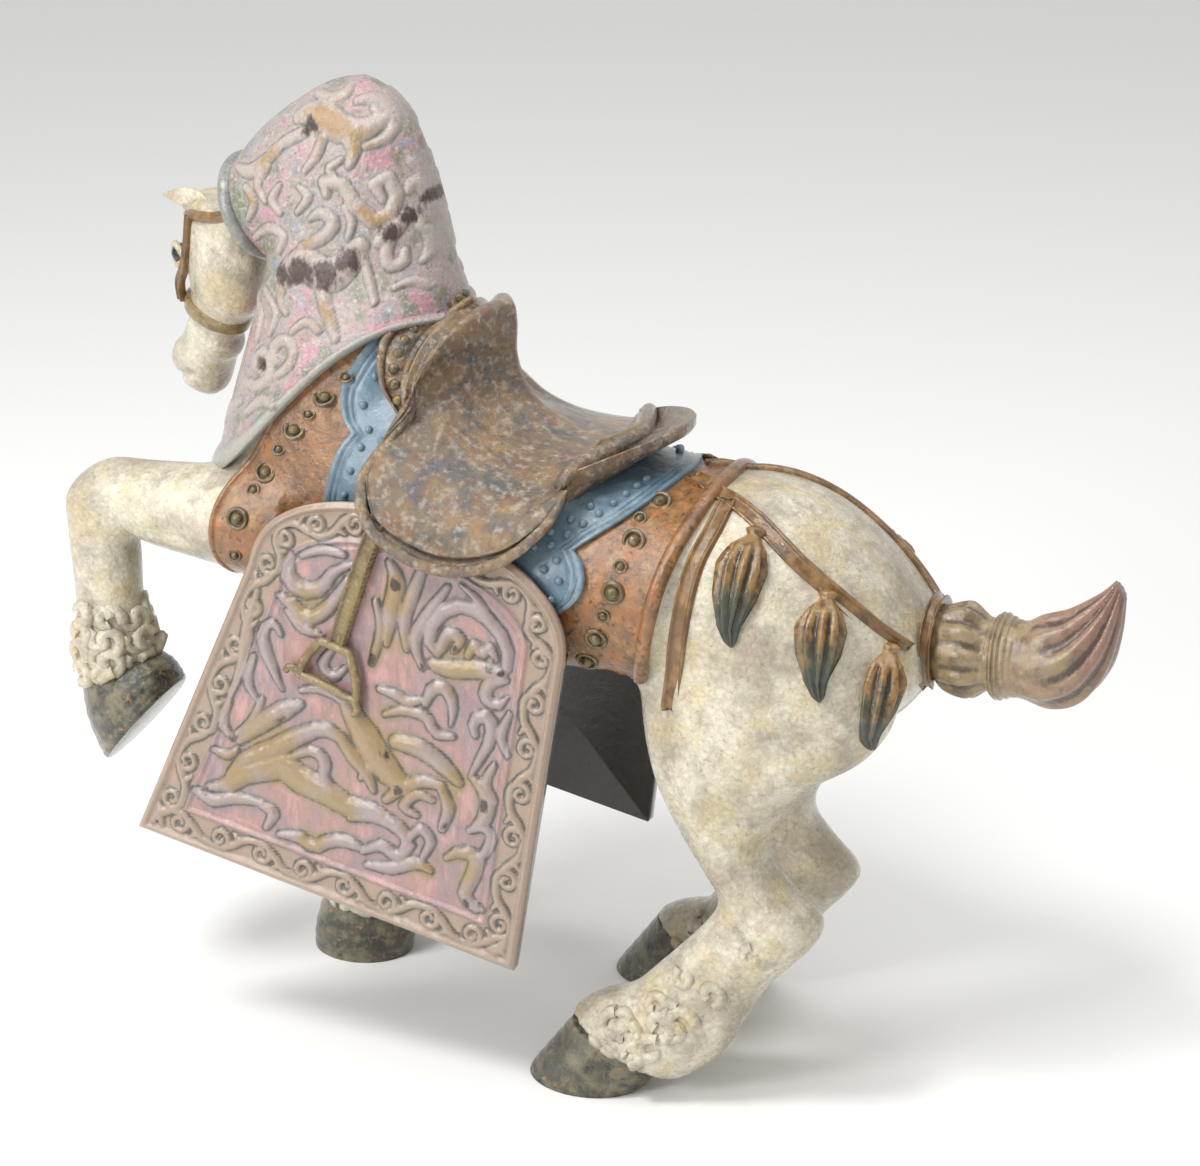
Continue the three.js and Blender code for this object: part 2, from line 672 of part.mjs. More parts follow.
// Head: ears, eyes and bridle, drawn on the right and left of the head before it is turned
function cone(base, tip, radius) {
  const along = tip.clone().sub(base);
  const g = new THREE.ConeGeometry(radius * scale, along.length(), 6);
  g.translate(0, along.length() / 2, 0);
  g.applyQuaternion(new THREE.Quaternion().setFromUnitVectors(new THREE.Vector3(0, 1, 0), along.normalize()));
  return g.translate(base.x, base.y, base.z);
}
const knob = ([x, y, z], [a, b, c]) => new THREE.SphereGeometry(scale, 6, 4)
  .scale(a, b, c)
  .translate(x * scale, y * scale, z * scale);
const headForms = [-1, 1].flatMap((side) => [
  cone(point(-15, 11 * side, 386), point(-32, 18 * side, 383), 6.5),
  knob([-28, 11 * side, 357], [8, 5.5, 7.5]),
]);
headForms.push(knob([-23, 0, 309], [11, 10, 11]));
headForms.push(
  form(
    [
      [-39.5, 332, -3, 322, 0, 14],
      [-39.5, 328, -3.5, 318, 0, 14],
    ],
    { sides: 8, steps: 1 },
  ),
);

const sideForms = [
  flapPlate(),
  ...flapCurls.map(curlOnFlap),
  flapBed,
  ...stirrupForms,
];
const harness = (side) => [
  strap(onSide(crupper, side), 6),
  strap(onSide(hipStrap, side), 4),
  ...tasselLines.map((line) => tassel(onSide(line, side))),
  ...onSide(bossPlaces, side).map((place) => boss(settle(place))),
];
const wholeForms = [
  ...harness(-1),
  ...harness(1),
  frontCloth,
  rearCloth,
  skin(saddleRings),
  skin(cantleRings),
  ridge(tailLoop, { width: strapWidth * 0.7, height: 3.4, depth: 10, end: 1 }),
  ...neckForms,
  ...headForms.map(turnedHead),
];
const farForms = [...sideForms, ...farRelief].map(mirrored);
const figurine = [...wholeForms, ...sideForms, ...nearRelief, ...farForms]
  .map(solid)
  .reduce((whole, piece) => whole.add(piece), body);

// Rest the hooves on zero and put the origin under the middle of the box.
const box = figurine.boundingBox();
const middle = [0, 1].map((i) => -(box.min[i] + box.max[i]) / 2);
const geometry = meshOf(figurine).translate(middle[0], middle[1], -box.min[2]);

const porcelain = new THREE.MeshStandardMaterial({ color: "#d9d2bd", roughness: 0.3, metalness: 0 });
const horse = new THREE.Mesh(geometry, porcelain);
horse.name = "horse_figurine";

const root = new THREE.Group();
root.add(horse);
export default root;
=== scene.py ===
"""A glazed porcelain figurine of a saddled, prancing horse, dressed over its fixed frame.

Shapes are drawn in millimetres with the horse facing -X and its left side towards -Y,
and are moved by SETTING into the frame of the solids.
"""
import math

import bmesh
import bpy
import numpy as np
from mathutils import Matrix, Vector
from mathutils.bvhtree import BVHTree


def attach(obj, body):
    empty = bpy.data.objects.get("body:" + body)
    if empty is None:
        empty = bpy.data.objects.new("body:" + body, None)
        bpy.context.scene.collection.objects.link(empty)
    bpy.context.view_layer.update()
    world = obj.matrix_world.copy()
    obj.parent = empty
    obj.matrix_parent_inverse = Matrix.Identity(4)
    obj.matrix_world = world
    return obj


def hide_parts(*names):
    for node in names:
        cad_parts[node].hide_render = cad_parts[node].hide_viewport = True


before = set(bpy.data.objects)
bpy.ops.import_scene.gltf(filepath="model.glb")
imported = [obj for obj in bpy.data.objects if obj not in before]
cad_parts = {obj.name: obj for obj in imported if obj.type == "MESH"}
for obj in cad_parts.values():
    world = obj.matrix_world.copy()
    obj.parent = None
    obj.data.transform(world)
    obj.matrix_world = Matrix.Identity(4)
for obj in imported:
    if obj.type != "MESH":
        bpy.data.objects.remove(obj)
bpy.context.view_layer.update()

bl_info = {
    "name": "Porcelain horse figurine",
    "version": (1, 0, 0),
    "blender": (4, 5, 0),
    "location": "3D View > Sidebar > Figurine",
    "description": "Builds a glazed porcelain figurine of a saddled, prancing horse",
    "category": "Add Mesh",
}

NODE = "horse_figurine"
SETTING = np.array([17.982, 0.0, 0.0])
THROAT = np.array([-198.0, 9.0, 0.0])
HEAD_TURN = math.radians(32)
FLAP_TILT = math.radians(11.3)
FLAP_FLARE = math.radians(4)
FLAP_ORIGIN = np.array([-211.0, -88.0, 106.0])
FLAP_WIDTH, FLAP_HEIGHT, FLAP_SHOULDER = 196.0, 195.0, 147.0
FLAP_BORDER = 18.0
FLAP_THICKNESS = 6.0
FLAP_CENTRE = np.array([104.0, 92.0])
AXIS_HEIGHT = 245
SCROLL_PITCH = 21
BORDER_MIDDLE = 9.8
LOCKS_IN_A_RING = 13
VOXEL = 2.3
SEED = 7

# Outlines of the forms in side view. Each row is
# front x, front z, back x, back z, middle y, half width, egg, arch.

TRUNK = [
    (-176, 268, -176, 246, 0, 22), (-170, 290, -171, 230, 0, 41), (-150, 312, -160, 213, 0, 54),
    (-118, 331, -128, 203, 0, 61), (-85, 333, -92, 196, 0, 65), (-45, 302, -52, 191, 0, 67),
    (-5, 290, -12, 191, 0, 67), (40, 286, 14, 192, 0, 65.5), (46, 288, 19, 189.5, 0, 67),
    (51, 286, 25, 191, 0, 65), (53, 282, 27, 195, 0, 61),
]
RUMP = [
    (20, 284, 5, 198, 0, 57), (45, 286, 32, 188, 0, 59), (72, 286, 58, 178, 0, 60),
    (97, 278, 85, 172, 0, 59), (120, 261, 110, 176, 0, 53), (136, 243, 134, 188, 0, 42),
    (147, 229, 148, 206, 0, 24),
]
HIND_LEFT = [
    (40, 250, 118, 250, -30, 25), (24, 212, 141, 205, -33, 29), (24, 185, 131, 178, -36, 29),
    (31, 157, 106, 160, -39, 26), (43, 136, 90, 139, -42, 21), (55, 119, 87, 126, -44, 18),
    (65, 103, 98, 112, -45, 17), (62, 93, 115, 98, -46, 17), (52, 80, 109, 83, -47, 17),
    (38, 65, 92, 64, -48, 16.5), (24, 51, 81, 45, -50, 17), (9, 45, 70, 25, -51, 19),
    (-5, 35, 50, 8, -52, 20),
]
HIND_RIGHT = [
    (40, 250, 118, 250, 30, 25), (24, 212, 141, 205, 33, 29), (22, 180, 129, 175, 36, 29),
    (28, 150, 103, 152, 38, 26), (38, 126, 86, 127, 39, 21), (50, 106, 81, 110, 40, 18),
    (56, 90, 92, 96, 40, 17), (54, 79, 105, 82, 41, 17), (44, 68, 98, 68, 44, 17),
    (32, 55, 85, 52, 48, 16.5), (22, 46, 75, 35, 52, 17), (7, 41, 66, 18, 55, 19),
    (-5, 33, 48, 7, 57, 20),
]
HIND_HOOF = [
    (-3, 32, 40, 16, 0, 18), (-13, 18, 37, 8, 0, 21), (-23, 4, 33, 2.5, 0, 22.5), (-25, 0, 31, 0, 0, 22),
]
FORE_RAISED = [
    (-140, 282, -140, 222, -40, 26), (-172, 276, -168, 226, -43, 25), (-200, 273, -198, 229, -42, 22),
    (-226, 271, -221, 232, -41, 19.5), (-247, 269, -231, 237, -40, 19), (-261, 259, -233, 235, -40, 18.5),
    (-266, 244, -233, 231, -40, 18), (-266, 222, -232, 219, -40, 16.5), (-265, 197, -232, 199, -40, 16),
    (-268, 178, -228, 186, -40, 18), (-268, 163, -226, 175, -40, 18.5), (-263, 152, -228, 171, -40, 18),
]
RAISED_HOOF = [
    (-264, 154, -228, 174, -40, 18), (-261, 137, -219, 170, -40, 22), (-253, 119, -214, 163, -40, 23.5),
    (-250, 117, -214, 160, -40, 22.5),
]
FORE_STANDING = [
    (-165, 250, -100, 250, 32, 26), (-168, 225, -112, 215, 32, 24), (-166, 195, -124, 185, 31, 20),
    (-165, 160, -130, 155, 30, 16.5), (-168, 130, -130, 128, 30, 18), (-165, 112, -133, 112, 30, 15.5),
    (-163, 80, -135, 80, 29, 14), (-165, 58, -130, 55, 29, 16), (-168, 42, -126, 40, 28, 18),
    (-172, 28, -124, 24, 28, 19),
]
STANDING_HOOF = [(-172, 30, -128, 26, 28, 19), (-177, 12, -126, 10, 28, 22), (-178, 0, -127, 0, 28, 22)]
NECK_ROOT = [
    (-199, 282, -86, 352, 0, 47, 0.1, 16), (-196, 262, -78, 340, 0, 53, 0.1, 12),
    (-186, 244, -66, 318, 0, 57, 0.05, 4), (-172, 228, -62, 290, 0, 58),
]
NECK_COVER = [
    (-202, 264, -78, 346, 0, 58, 0.12, 24), (-192, 300, -80, 358, 0, 50, 0.14, 14),
    (-183, 330, -83, 368, 0, 43, 0.16, 6), (-178, 350, -86, 380, 1, 38, 0.16),
    (-176, 357, -92, 404, 2, 35, 0.18), (-175, 361, -102, 430, 3, 33, 0.18),
    (-175, 361, -113, 444, 4, 32, 0.18), (-175, 362, -127, 451, 5, 31, 0.18),
    (-176, 363, -142, 449, 6, 30, 0.16), (-176, 363, -156, 442, 6, 29, 0.15),
    (-177, 364, -178, 426, 7, 27, 0.1), (-178, 365, -196, 406, 8, 26, 0),
]
HEAD = [
    (-26, 388, 24, 380, 0, 15), (-35, 376, 12, 370, 0, 17), (-38, 359, 12, 352, 0, 17),
    (-36, 343, 8, 336, 0, 14.5), (-37.5, 330, -6, 322, 0, 12.5), (-44, 318, -14, 309, 0, 12.5),
    (-53, 306, -20, 298, 0, 14), (-53, 295, -25, 288, 0, 12), (-45, 289, -31, 284, 0, 6),
]
TAIL = [
    (140, 236, 146, 210, 0, 12), (152, 238, 154, 201, 0, 17), (163, 240, 166, 199, 0, 20),
    (172, 235, 174, 203, 0, 17), (178, 238, 179, 200, 0, 19), (187, 236, 189, 202, 0, 18),
    (196, 240, 203, 200, 0, 20), (206, 243, 217, 206, 0, 19), (215, 249, 227, 221, 0, 14),
    (222, 255, 231, 238, 0, 9), (227, 261, 232, 254, 0, 4),
]
# From pommel to cantle: the ridge x, z over the spine, and the lower edge x, y, z, squareness.
SADDLE = [
    (-78, 349, -86, 50, 314, 2), (-69, 351, -83, 51, 313, 2), (-62, 356, -82, 52, 312, 2),
    (-54, 355, -82, 54, 311, 2), (-52, 346, -85, 57, 306, 2.05), (-52, 331, -92, 62, 296, 2.1),
    (-47, 317, -95, 71, 279, 2.1), (-39, 308, -84, 78, 262, 2.1), (-28, 302, -56, 81, 252, 2.1),
    (-16, 299, -29, 79, 258, 2.1), (-5, 298, -12, 70, 274, 2.15), (4, 301, -8, 60, 287, 2.2),
    (11, 302, -11, 53, 294, 2.2),
]


# Lines and skins

def catmull(a, b, c, d, t):
    return 0.5 * (2 * b + (c - a) * t + (2 * a - 5 * b + 4 * c - d) * t**2 + (3 * b - a - 3 * c + d) * t**3)


def smooth_line(points, count):
    """count + 1 places spread over a smooth line through the points."""
    points = np.asarray(points, float)
    last = len(points) - 1
    at = np.linspace(0, last, count + 1)
    i = np.minimum(at.astype(int), last - 1)
    near = [points[np.clip(i + k, 0, last)] for k in (-1, 0, 1, 2)]
    return catmull(*near, (at - i)[:, None])


def even_line(points, count):
    """The same line with its places at even distances."""
    dense = smooth_line(points, 40 * (len(points) - 1))
    run = np.concatenate([[0], np.cumsum(np.linalg.norm(np.diff(dense, axis=0), axis=1))])
    at = np.linspace(0, run[-1], count + 1)
    return np.stack([np.interp(at, run, column) for column in dense.T], 1)


def unit(vectors):
    """Vectors brought to a length of 1."""
    return vectors / (np.linalg.norm(vectors, axis=-1, keepdims=True) + 1e-9)


def form(stations, sides=64, steps=8, squareness=2.0):
    """Rings of a form between two outlines in side view."""
    table = [tuple(row) + (0.0,) * (8 - len(row)) for row in stations]
    rows = smooth_line(table, steps * (len(stations) - 1))
    phi = np.linspace(0, 2 * np.pi, sides, endpoint=False)
    power = 2 / squareness
    c = np.sign(np.cos(phi)) * np.abs(np.cos(phi)) ** power
    d = np.sign(np.sin(phi)) * np.abs(np.sin(phi)) ** power
    fx, fz, bx, bz, y, w, egg, arch = rows.T[:, :, None]
    u = 0.5 + 0.5 * c
    x, z = fx + (bx - fx) * u, fz + (bz - fz) * u + arch * d * d * (0.4 + c)
    return np.stack([x, y + w * d * (1 - egg * c), z], -1)


def skin(rings, loop=False):
    """Rings of equal length joined into a closed skin, with capped ends unless it is a loop."""
    rings = np.asarray(rings, float)
    count, n = rings.shape[:2]
    points = rings.reshape(-1, 3)
    faces = []
    for i in range(count if loop else count - 1):
        a, b = i * n, ((i + 1) % count) * n
        faces += [(a + j, a + (j + 1) % n, b + (j + 1) % n, b + j) for j in range(n)]
    if not loop:
        hubs = np.array([rings[0].mean(0), rings[-1].mean(0)])
        points = np.concatenate([points, hubs])
        far = (count - 1) * n
        faces += [(count * n, (j + 1) % n, j) for j in range(n)]
        faces += [(count * n + 1, far + j, far + (j + 1) % n) for j in range(n)]
    return points, faces


def ring_normals(rings):
    """Outward directions on a grid of rings."""
    along = np.gradient(rings, axis=0)
    around = np.roll(rings, -1, axis=1) - np.roll(rings, 1, axis=1)
    n = unit(np.cross(around, along))
    out = rings - rings.mean(1, keepdims=True)
    return n * np.where((n * out).sum(2, keepdims=True).mean() < 0, -1, 1)


def sweep(places, normals, section, share=None, loop=False):
    """A section of (across, up) pairs carried along places; share widens or narrows it."""
    places, normals = np.asarray(places, float), np.asarray(normals, float)
    if loop:
        ahead = np.roll(places, -1, 0) - np.roll(places, 1, 0)
    else:
        ahead = np.gradient(places, axis=0)
    side = unit(np.cross(normals, ahead))
    section = np.asarray(section, float)
    share = np.ones(len(places)) if share is None else np.asarray(share, float)
    rings = (
        places[:, None]
        + side[:, None] * section[None, :, :1] * share[:, None, None]
        + normals[:, None] * section[None, :, 1:] * share[:, None, None]
    )
    return skin(rings, loop)


def round_section(radius, sides=12, flat=1.0):
    angle = np.linspace(0, 2 * np.pi, sides, endpoint=False)
    return np.stack([radius * np.cos(angle), radius * flat * np.sin(angle)], 1)


def strap_section(width, height, depth=2.5):
    """A strap with a raised edge along both sides."""
    across = np.linspace(-1, 1, 15)
    rise = height * (0.35 + 0.65 * np.exp(-(((np.abs(across) - 0.74) / 0.17) ** 2)))
    rise *= (1 - np.abs(across) ** 10)
    top = np.stack([across * width / 2, rise], 1)
    return np.concatenate([top, [(width / 2, -depth), (-width / 2, -depth)]])


def mirrored(shell):
    points, faces = shell
    return points * (1, -1, 1), [tuple(reversed(face)) for face in faces]


def to_frame(points):
    """Drawn millimetres in the metres of the frame."""
    return (np.asarray(points) + SETTING) / 1000


def head_turned(points):
    """From the head's own drawing, straight ahead, to its turned place on the neck."""
    points = np.asarray(points, float)
    c, s = math.cos(-HEAD_TURN), math.sin(-HEAD_TURN)
    x, y, z = points[..., 0], points[..., 1], points[..., 2]
    return np.stack([x * c - y * s, x * s + y * c, z], -1) + THROAT


def on_head(shell):
    return head_turned(shell[0]), shell[1]


# Pieces

def finished(name, mesh, coating):
    """Cleans a mesh, gives it its glaze and places it in the frame."""
    form_edit = bmesh.new()
    form_edit.from_mesh(mesh)
    bmesh.ops.remove_doubles(form_edit, verts=form_edit.verts, dist=2e-6)
    bmesh.ops.recalc_face_normals(form_edit, faces=form_edit.faces)
    form_edit.to_mesh(mesh)
    form_edit.free()
    mesh.name = name
    mesh.shade_smooth()
    if not mesh.materials:
        mesh.materials.append(coating)
    shown = bpy.data.objects.new(name, mesh)
    bpy.context.scene.collection.objects.link(shown)
    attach(shown, "root")
    return shown


def mesh_of(name, shells, marks=None):
    """One mesh from shells drawn in millimetres. marks holds values at the points, by name."""
    points = np.concatenate([shell[0] for shell in shells])
    faces, start = [], 0
    for shell_points, shell_faces in shells:
        faces += [tuple(i + start for i in face) for face in shell_faces]
        start += len(shell_points)
    mesh = bpy.data.meshes.new(name)
    mesh.from_pydata(to_frame(points).tolist(), [], faces)
    for mark, values in (marks or {}).items():
        layer = mesh.attributes.new(mark, "FLOAT", "POINT")
        layer.data.foreach_set("value", np.asarray(values, np.float32))
    mesh.update()
    return mesh


def piece(name, shells, coating, marks=None):
    return finished(name, mesh_of(name, shells, marks), coating)


def coordinates(mesh, what="vertices"):
    values = np.empty(len(mesh.vertices) * 3, np.float32)
    if what == "normals":
        mesh.vertex_normals.foreach_get("vector", values)
    else:
        mesh.vertices.foreach_get("co", values)
    return values.reshape(-1, 3).astype(float)


def drawn(mesh):
    """The points of a mesh in drawn millimetres."""
    return coordinates(mesh) * 1000 - SETTING


def skin_of(mesh):
    return drawn(mesh), [tuple(p.vertices) for p in mesh.polygons]


def plain_copy(shown):
    """The evaluated shape of an object as a plain mesh, after which the object is dropped."""
    bpy.context.view_layer.update()
    seen = shown.evaluated_get(bpy.context.evaluated_depsgraph_get())
    mesh = bpy.data.meshes.new_from_object(seen)
    shown.modifiers.clear()
    bpy.data.objects.remove(shown)
    return mesh


def joined_clay(name, shells, voxel):
    """Overlapping shells joined as one skin of even small faces."""
    shown = bpy.data.objects.new(name, mesh_of(name, shells))
    bpy.context.scene.collection.objects.link(shown)
    remesh = shown.modifiers.new("join", "REMESH")
    remesh.mode = "VOXEL"
    remesh.voxel_size = voxel / 1000
    return plain_copy(shown)


def fettle(mesh, smoothing, filling):
    """Smooths a skin a little, then fills only its inward creases, as a wet sponge does."""
    edges = np.empty(len(mesh.edges) * 2, np.int32)
    mesh.edges.foreach_get("vertices", edges)
    edges = edges.reshape(-1, 2)
    n = len(mesh.vertices)
    count = np.maximum(np.bincount(edges.ravel(), minlength=n), 1)[:, None]
    for turn in range(smoothing + filling):
        co = coordinates(mesh)
        total = np.stack([
            np.bincount(edges[:, 0], co[edges[:, 1], k], n)
            + np.bincount(edges[:, 1], co[edges[:, 0], k], n)
            for k in range(3)
        ], 1)
        pull = total / count - co
        if turn >= smoothing:
            inward = (pull * coordinates(mesh, "normals")).sum(1) > 0
            pull *= np.where(inward, 1.0, 0.0)[:, None]
        mesh.vertices.foreach_set("co", (co + 0.7 * pull).astype(np.float32).ravel())
        mesh.update()


def model_strokes(mesh, strokes):
    """Raises or dents a skin along soft strokes: (points in mm, reach in mm, height in mm)."""
    co, out = drawn(mesh), coordinates(mesh, "normals")
    lift = np.zeros(len(co))
    for points, reach, height in strokes:
        line = np.asarray(points, float)
        if len(line) > 1:
            line = smooth_line(line, 6 * (len(line) - 1))
        lo, hi = line.min(0) - 3 * reach, line.max(0) + 3 * reach
        near = np.flatnonzero(((co > lo) & (co < hi)).all(1))
        if not len(near):
            continue
        gap = np.min(np.linalg.norm(co[near, None] - line[None], axis=2), axis=1)
        lift[near] += height * np.exp(-((gap / reach) ** 2))
    placed = to_frame(co + out * lift[:, None])
    mesh.vertices.foreach_set("co", placed.astype(np.float32).ravel())
    mesh.update()


class Clay:
    """The skins made so far, on which straps, studs and tassels are laid."""

    shells = []
    tree = None

    @classmethod
    def add(cls, shell):
        cls.shells.append(shell)
        points = np.concatenate([s[0] for s in cls.shells])
        faces, start = [], 0
        for shell_points, shell_faces in cls.shells:
            faces += [tuple(i + start for i in face) for face in shell_faces]
            start += len(shell_points)
        cls.tree = BVHTree.FromPolygons(points.tolist(), faces)


def settle(place):
    """The point on the skins that lies outward of the body's axis towards a place, and the way out."""
    x, y, z = place
    axis = Vector((x, 0, AXIS_HEIGHT - 0.33 * max(x - 60, 0)))
    out = (Vector((x, y, z)) - axis).normalized()
    hit = Clay.tree.ray_cast(axis + out * 400, -out)
    if hit[0] is None:
        raise RuntimeError(f"nothing to lay a piece on near {tuple(place)}")
    return np.array(hit[0]), np.array(out)


def over_top(x, degrees):
    """A place just off the body's axis, at an angle from the top."""
    turn = math.radians(degrees)
    return x, math.sin(turn) * 10, AXIS_HEIGHT + math.cos(turn) * 10


def settled(line):
    found = [settle(place) for place in line]
    return np.array([p for p, _ in found]), np.array([n for _, n in found])


# Carving on flat drawings

def raised(flat, strokes):
    """Height, outline and halo shares at flat points of strokes given as rows of x, y, half width."""
    height = np.zeros(len(flat))
    past = np.full(len(flat), 9.0)
    for stroke in strokes:
        stroke = np.asarray(stroke, float)
        for a, b in zip(stroke[:-1], stroke[1:]):
            reach = 1.2 * max(a[2], b[2]) + 4.5
            low, high = np.minimum(a[:2], b[:2]) - reach, np.maximum(a[:2], b[:2]) + reach
            near = np.flatnonzero(((flat > low) & (flat < high)).all(1))
            if not len(near):
                continue
            run = b[:2] - a[:2]
            rest = flat[near] - a[:2]
            t = np.clip(rest @ run / max(run @ run, 1e-9), 0, 1)
            gap = np.linalg.norm(rest - t[:, None] * run, axis=1)
            half = 1.2 * (a[2] + (b[2] - a[2]) * t)
            share = np.clip(1 - (gap / half) ** 2, 0, 1) ** 0.9 * (0.5 + 0.5 * np.minimum(half / 4.8, 1))
            height[near] = np.maximum(height[near], share)
            past[near] = np.minimum(past[near], gap - half)
    return height, np.exp(-(((past - 0.15) / 0.75) ** 2)), np.exp(-((np.maximum(past, 0) / 2.6) ** 2))


def stroke(points, widths, count=9):
    """A smooth stroke through points, whose half width runs through the widths."""
    line = smooth_line(points, count)
    w = np.interp(np.linspace(0, 1, count + 1), np.linspace(0, 1, len(widths)), widths)
    return np.column_stack([line, w])


def moved(strokes, x, y, size, turn, hand=1):
    c, s = math.cos(math.radians(turn)), math.sin(math.radians(turn))
    out = []
    for rows in strokes:
        u, v, w = (np.asarray(rows) * size).T
        u = u * hand
        out.append(np.column_stack([x + u * c - v * s, y + u * s + v * c, w]))
    return out


# A running beast facing +x, half its length to a unit.
BEAST = [
    stroke([(-1.0, 0.05), (-0.5, 0.14), (0.05, 0.04), (0.5, 0.14), (0.85, 0.26)],
           [0.15, 0.23, 0.17, 0.22, 0.14]),
    stroke([(0.75, 0.2), (1.05, 0.44), (1.32, 0.4), (1.5, 0.27)], [0.13, 0.13, 0.12, 0.05]),
    stroke([(1.12, 0.46), (1.02, 0.64), (0.86, 0.74)], [0.06, 0.05, 0.02]),
    stroke([(0.62, 0.05), (0.95, -0.2), (1.25, -0.16), (1.48, -0.32)], [0.13, 0.08, 0.055, 0.05]),
    stroke([(0.5, 0.0), (0.58, -0.36), (0.86, -0.52)], [0.12, 0.07, 0.05]),
    stroke([(-0.9, 0.02), (-1.05, -0.28), (-1.32, -0.3), (-1.46, -0.5)], [0.16, 0.09, 0.055, 0.05]),
    stroke([(-0.74, 0.0), (-0.7, -0.36), (-0.98, -0.58)], [0.14, 0.07, 0.05]),
    stroke([(-1.0, 0.12), (-1.3, 0.3), (-1.28, 0.58), (-1.02, 0.62)], [0.06, 0.07, 0.07, 0.03]),
]
# A drifting cloud: a crest with a curl at each end.
CLOUD = [
    stroke([(-1.0, -0.1), (-0.6, 0.25), (-0.1, 0.05), (0.4, -0.2), (0.9, 0.1), (0.7, 0.42), (0.45, 0.25)],
           [0.04, 0.12, 0.13, 0.12, 0.12, 0.1, 0.07], 14),
    stroke([(-0.6, 0.2), (-0.85, 0.5), (-0.5, 0.62), (-0.42, 0.42)], [0.1, 0.1, 0.08, 0.05]),
    stroke([(0.35, -0.15), (0.5, -0.5), (0.15, -0.56)], [0.1, 0.09, 0.04]),
]


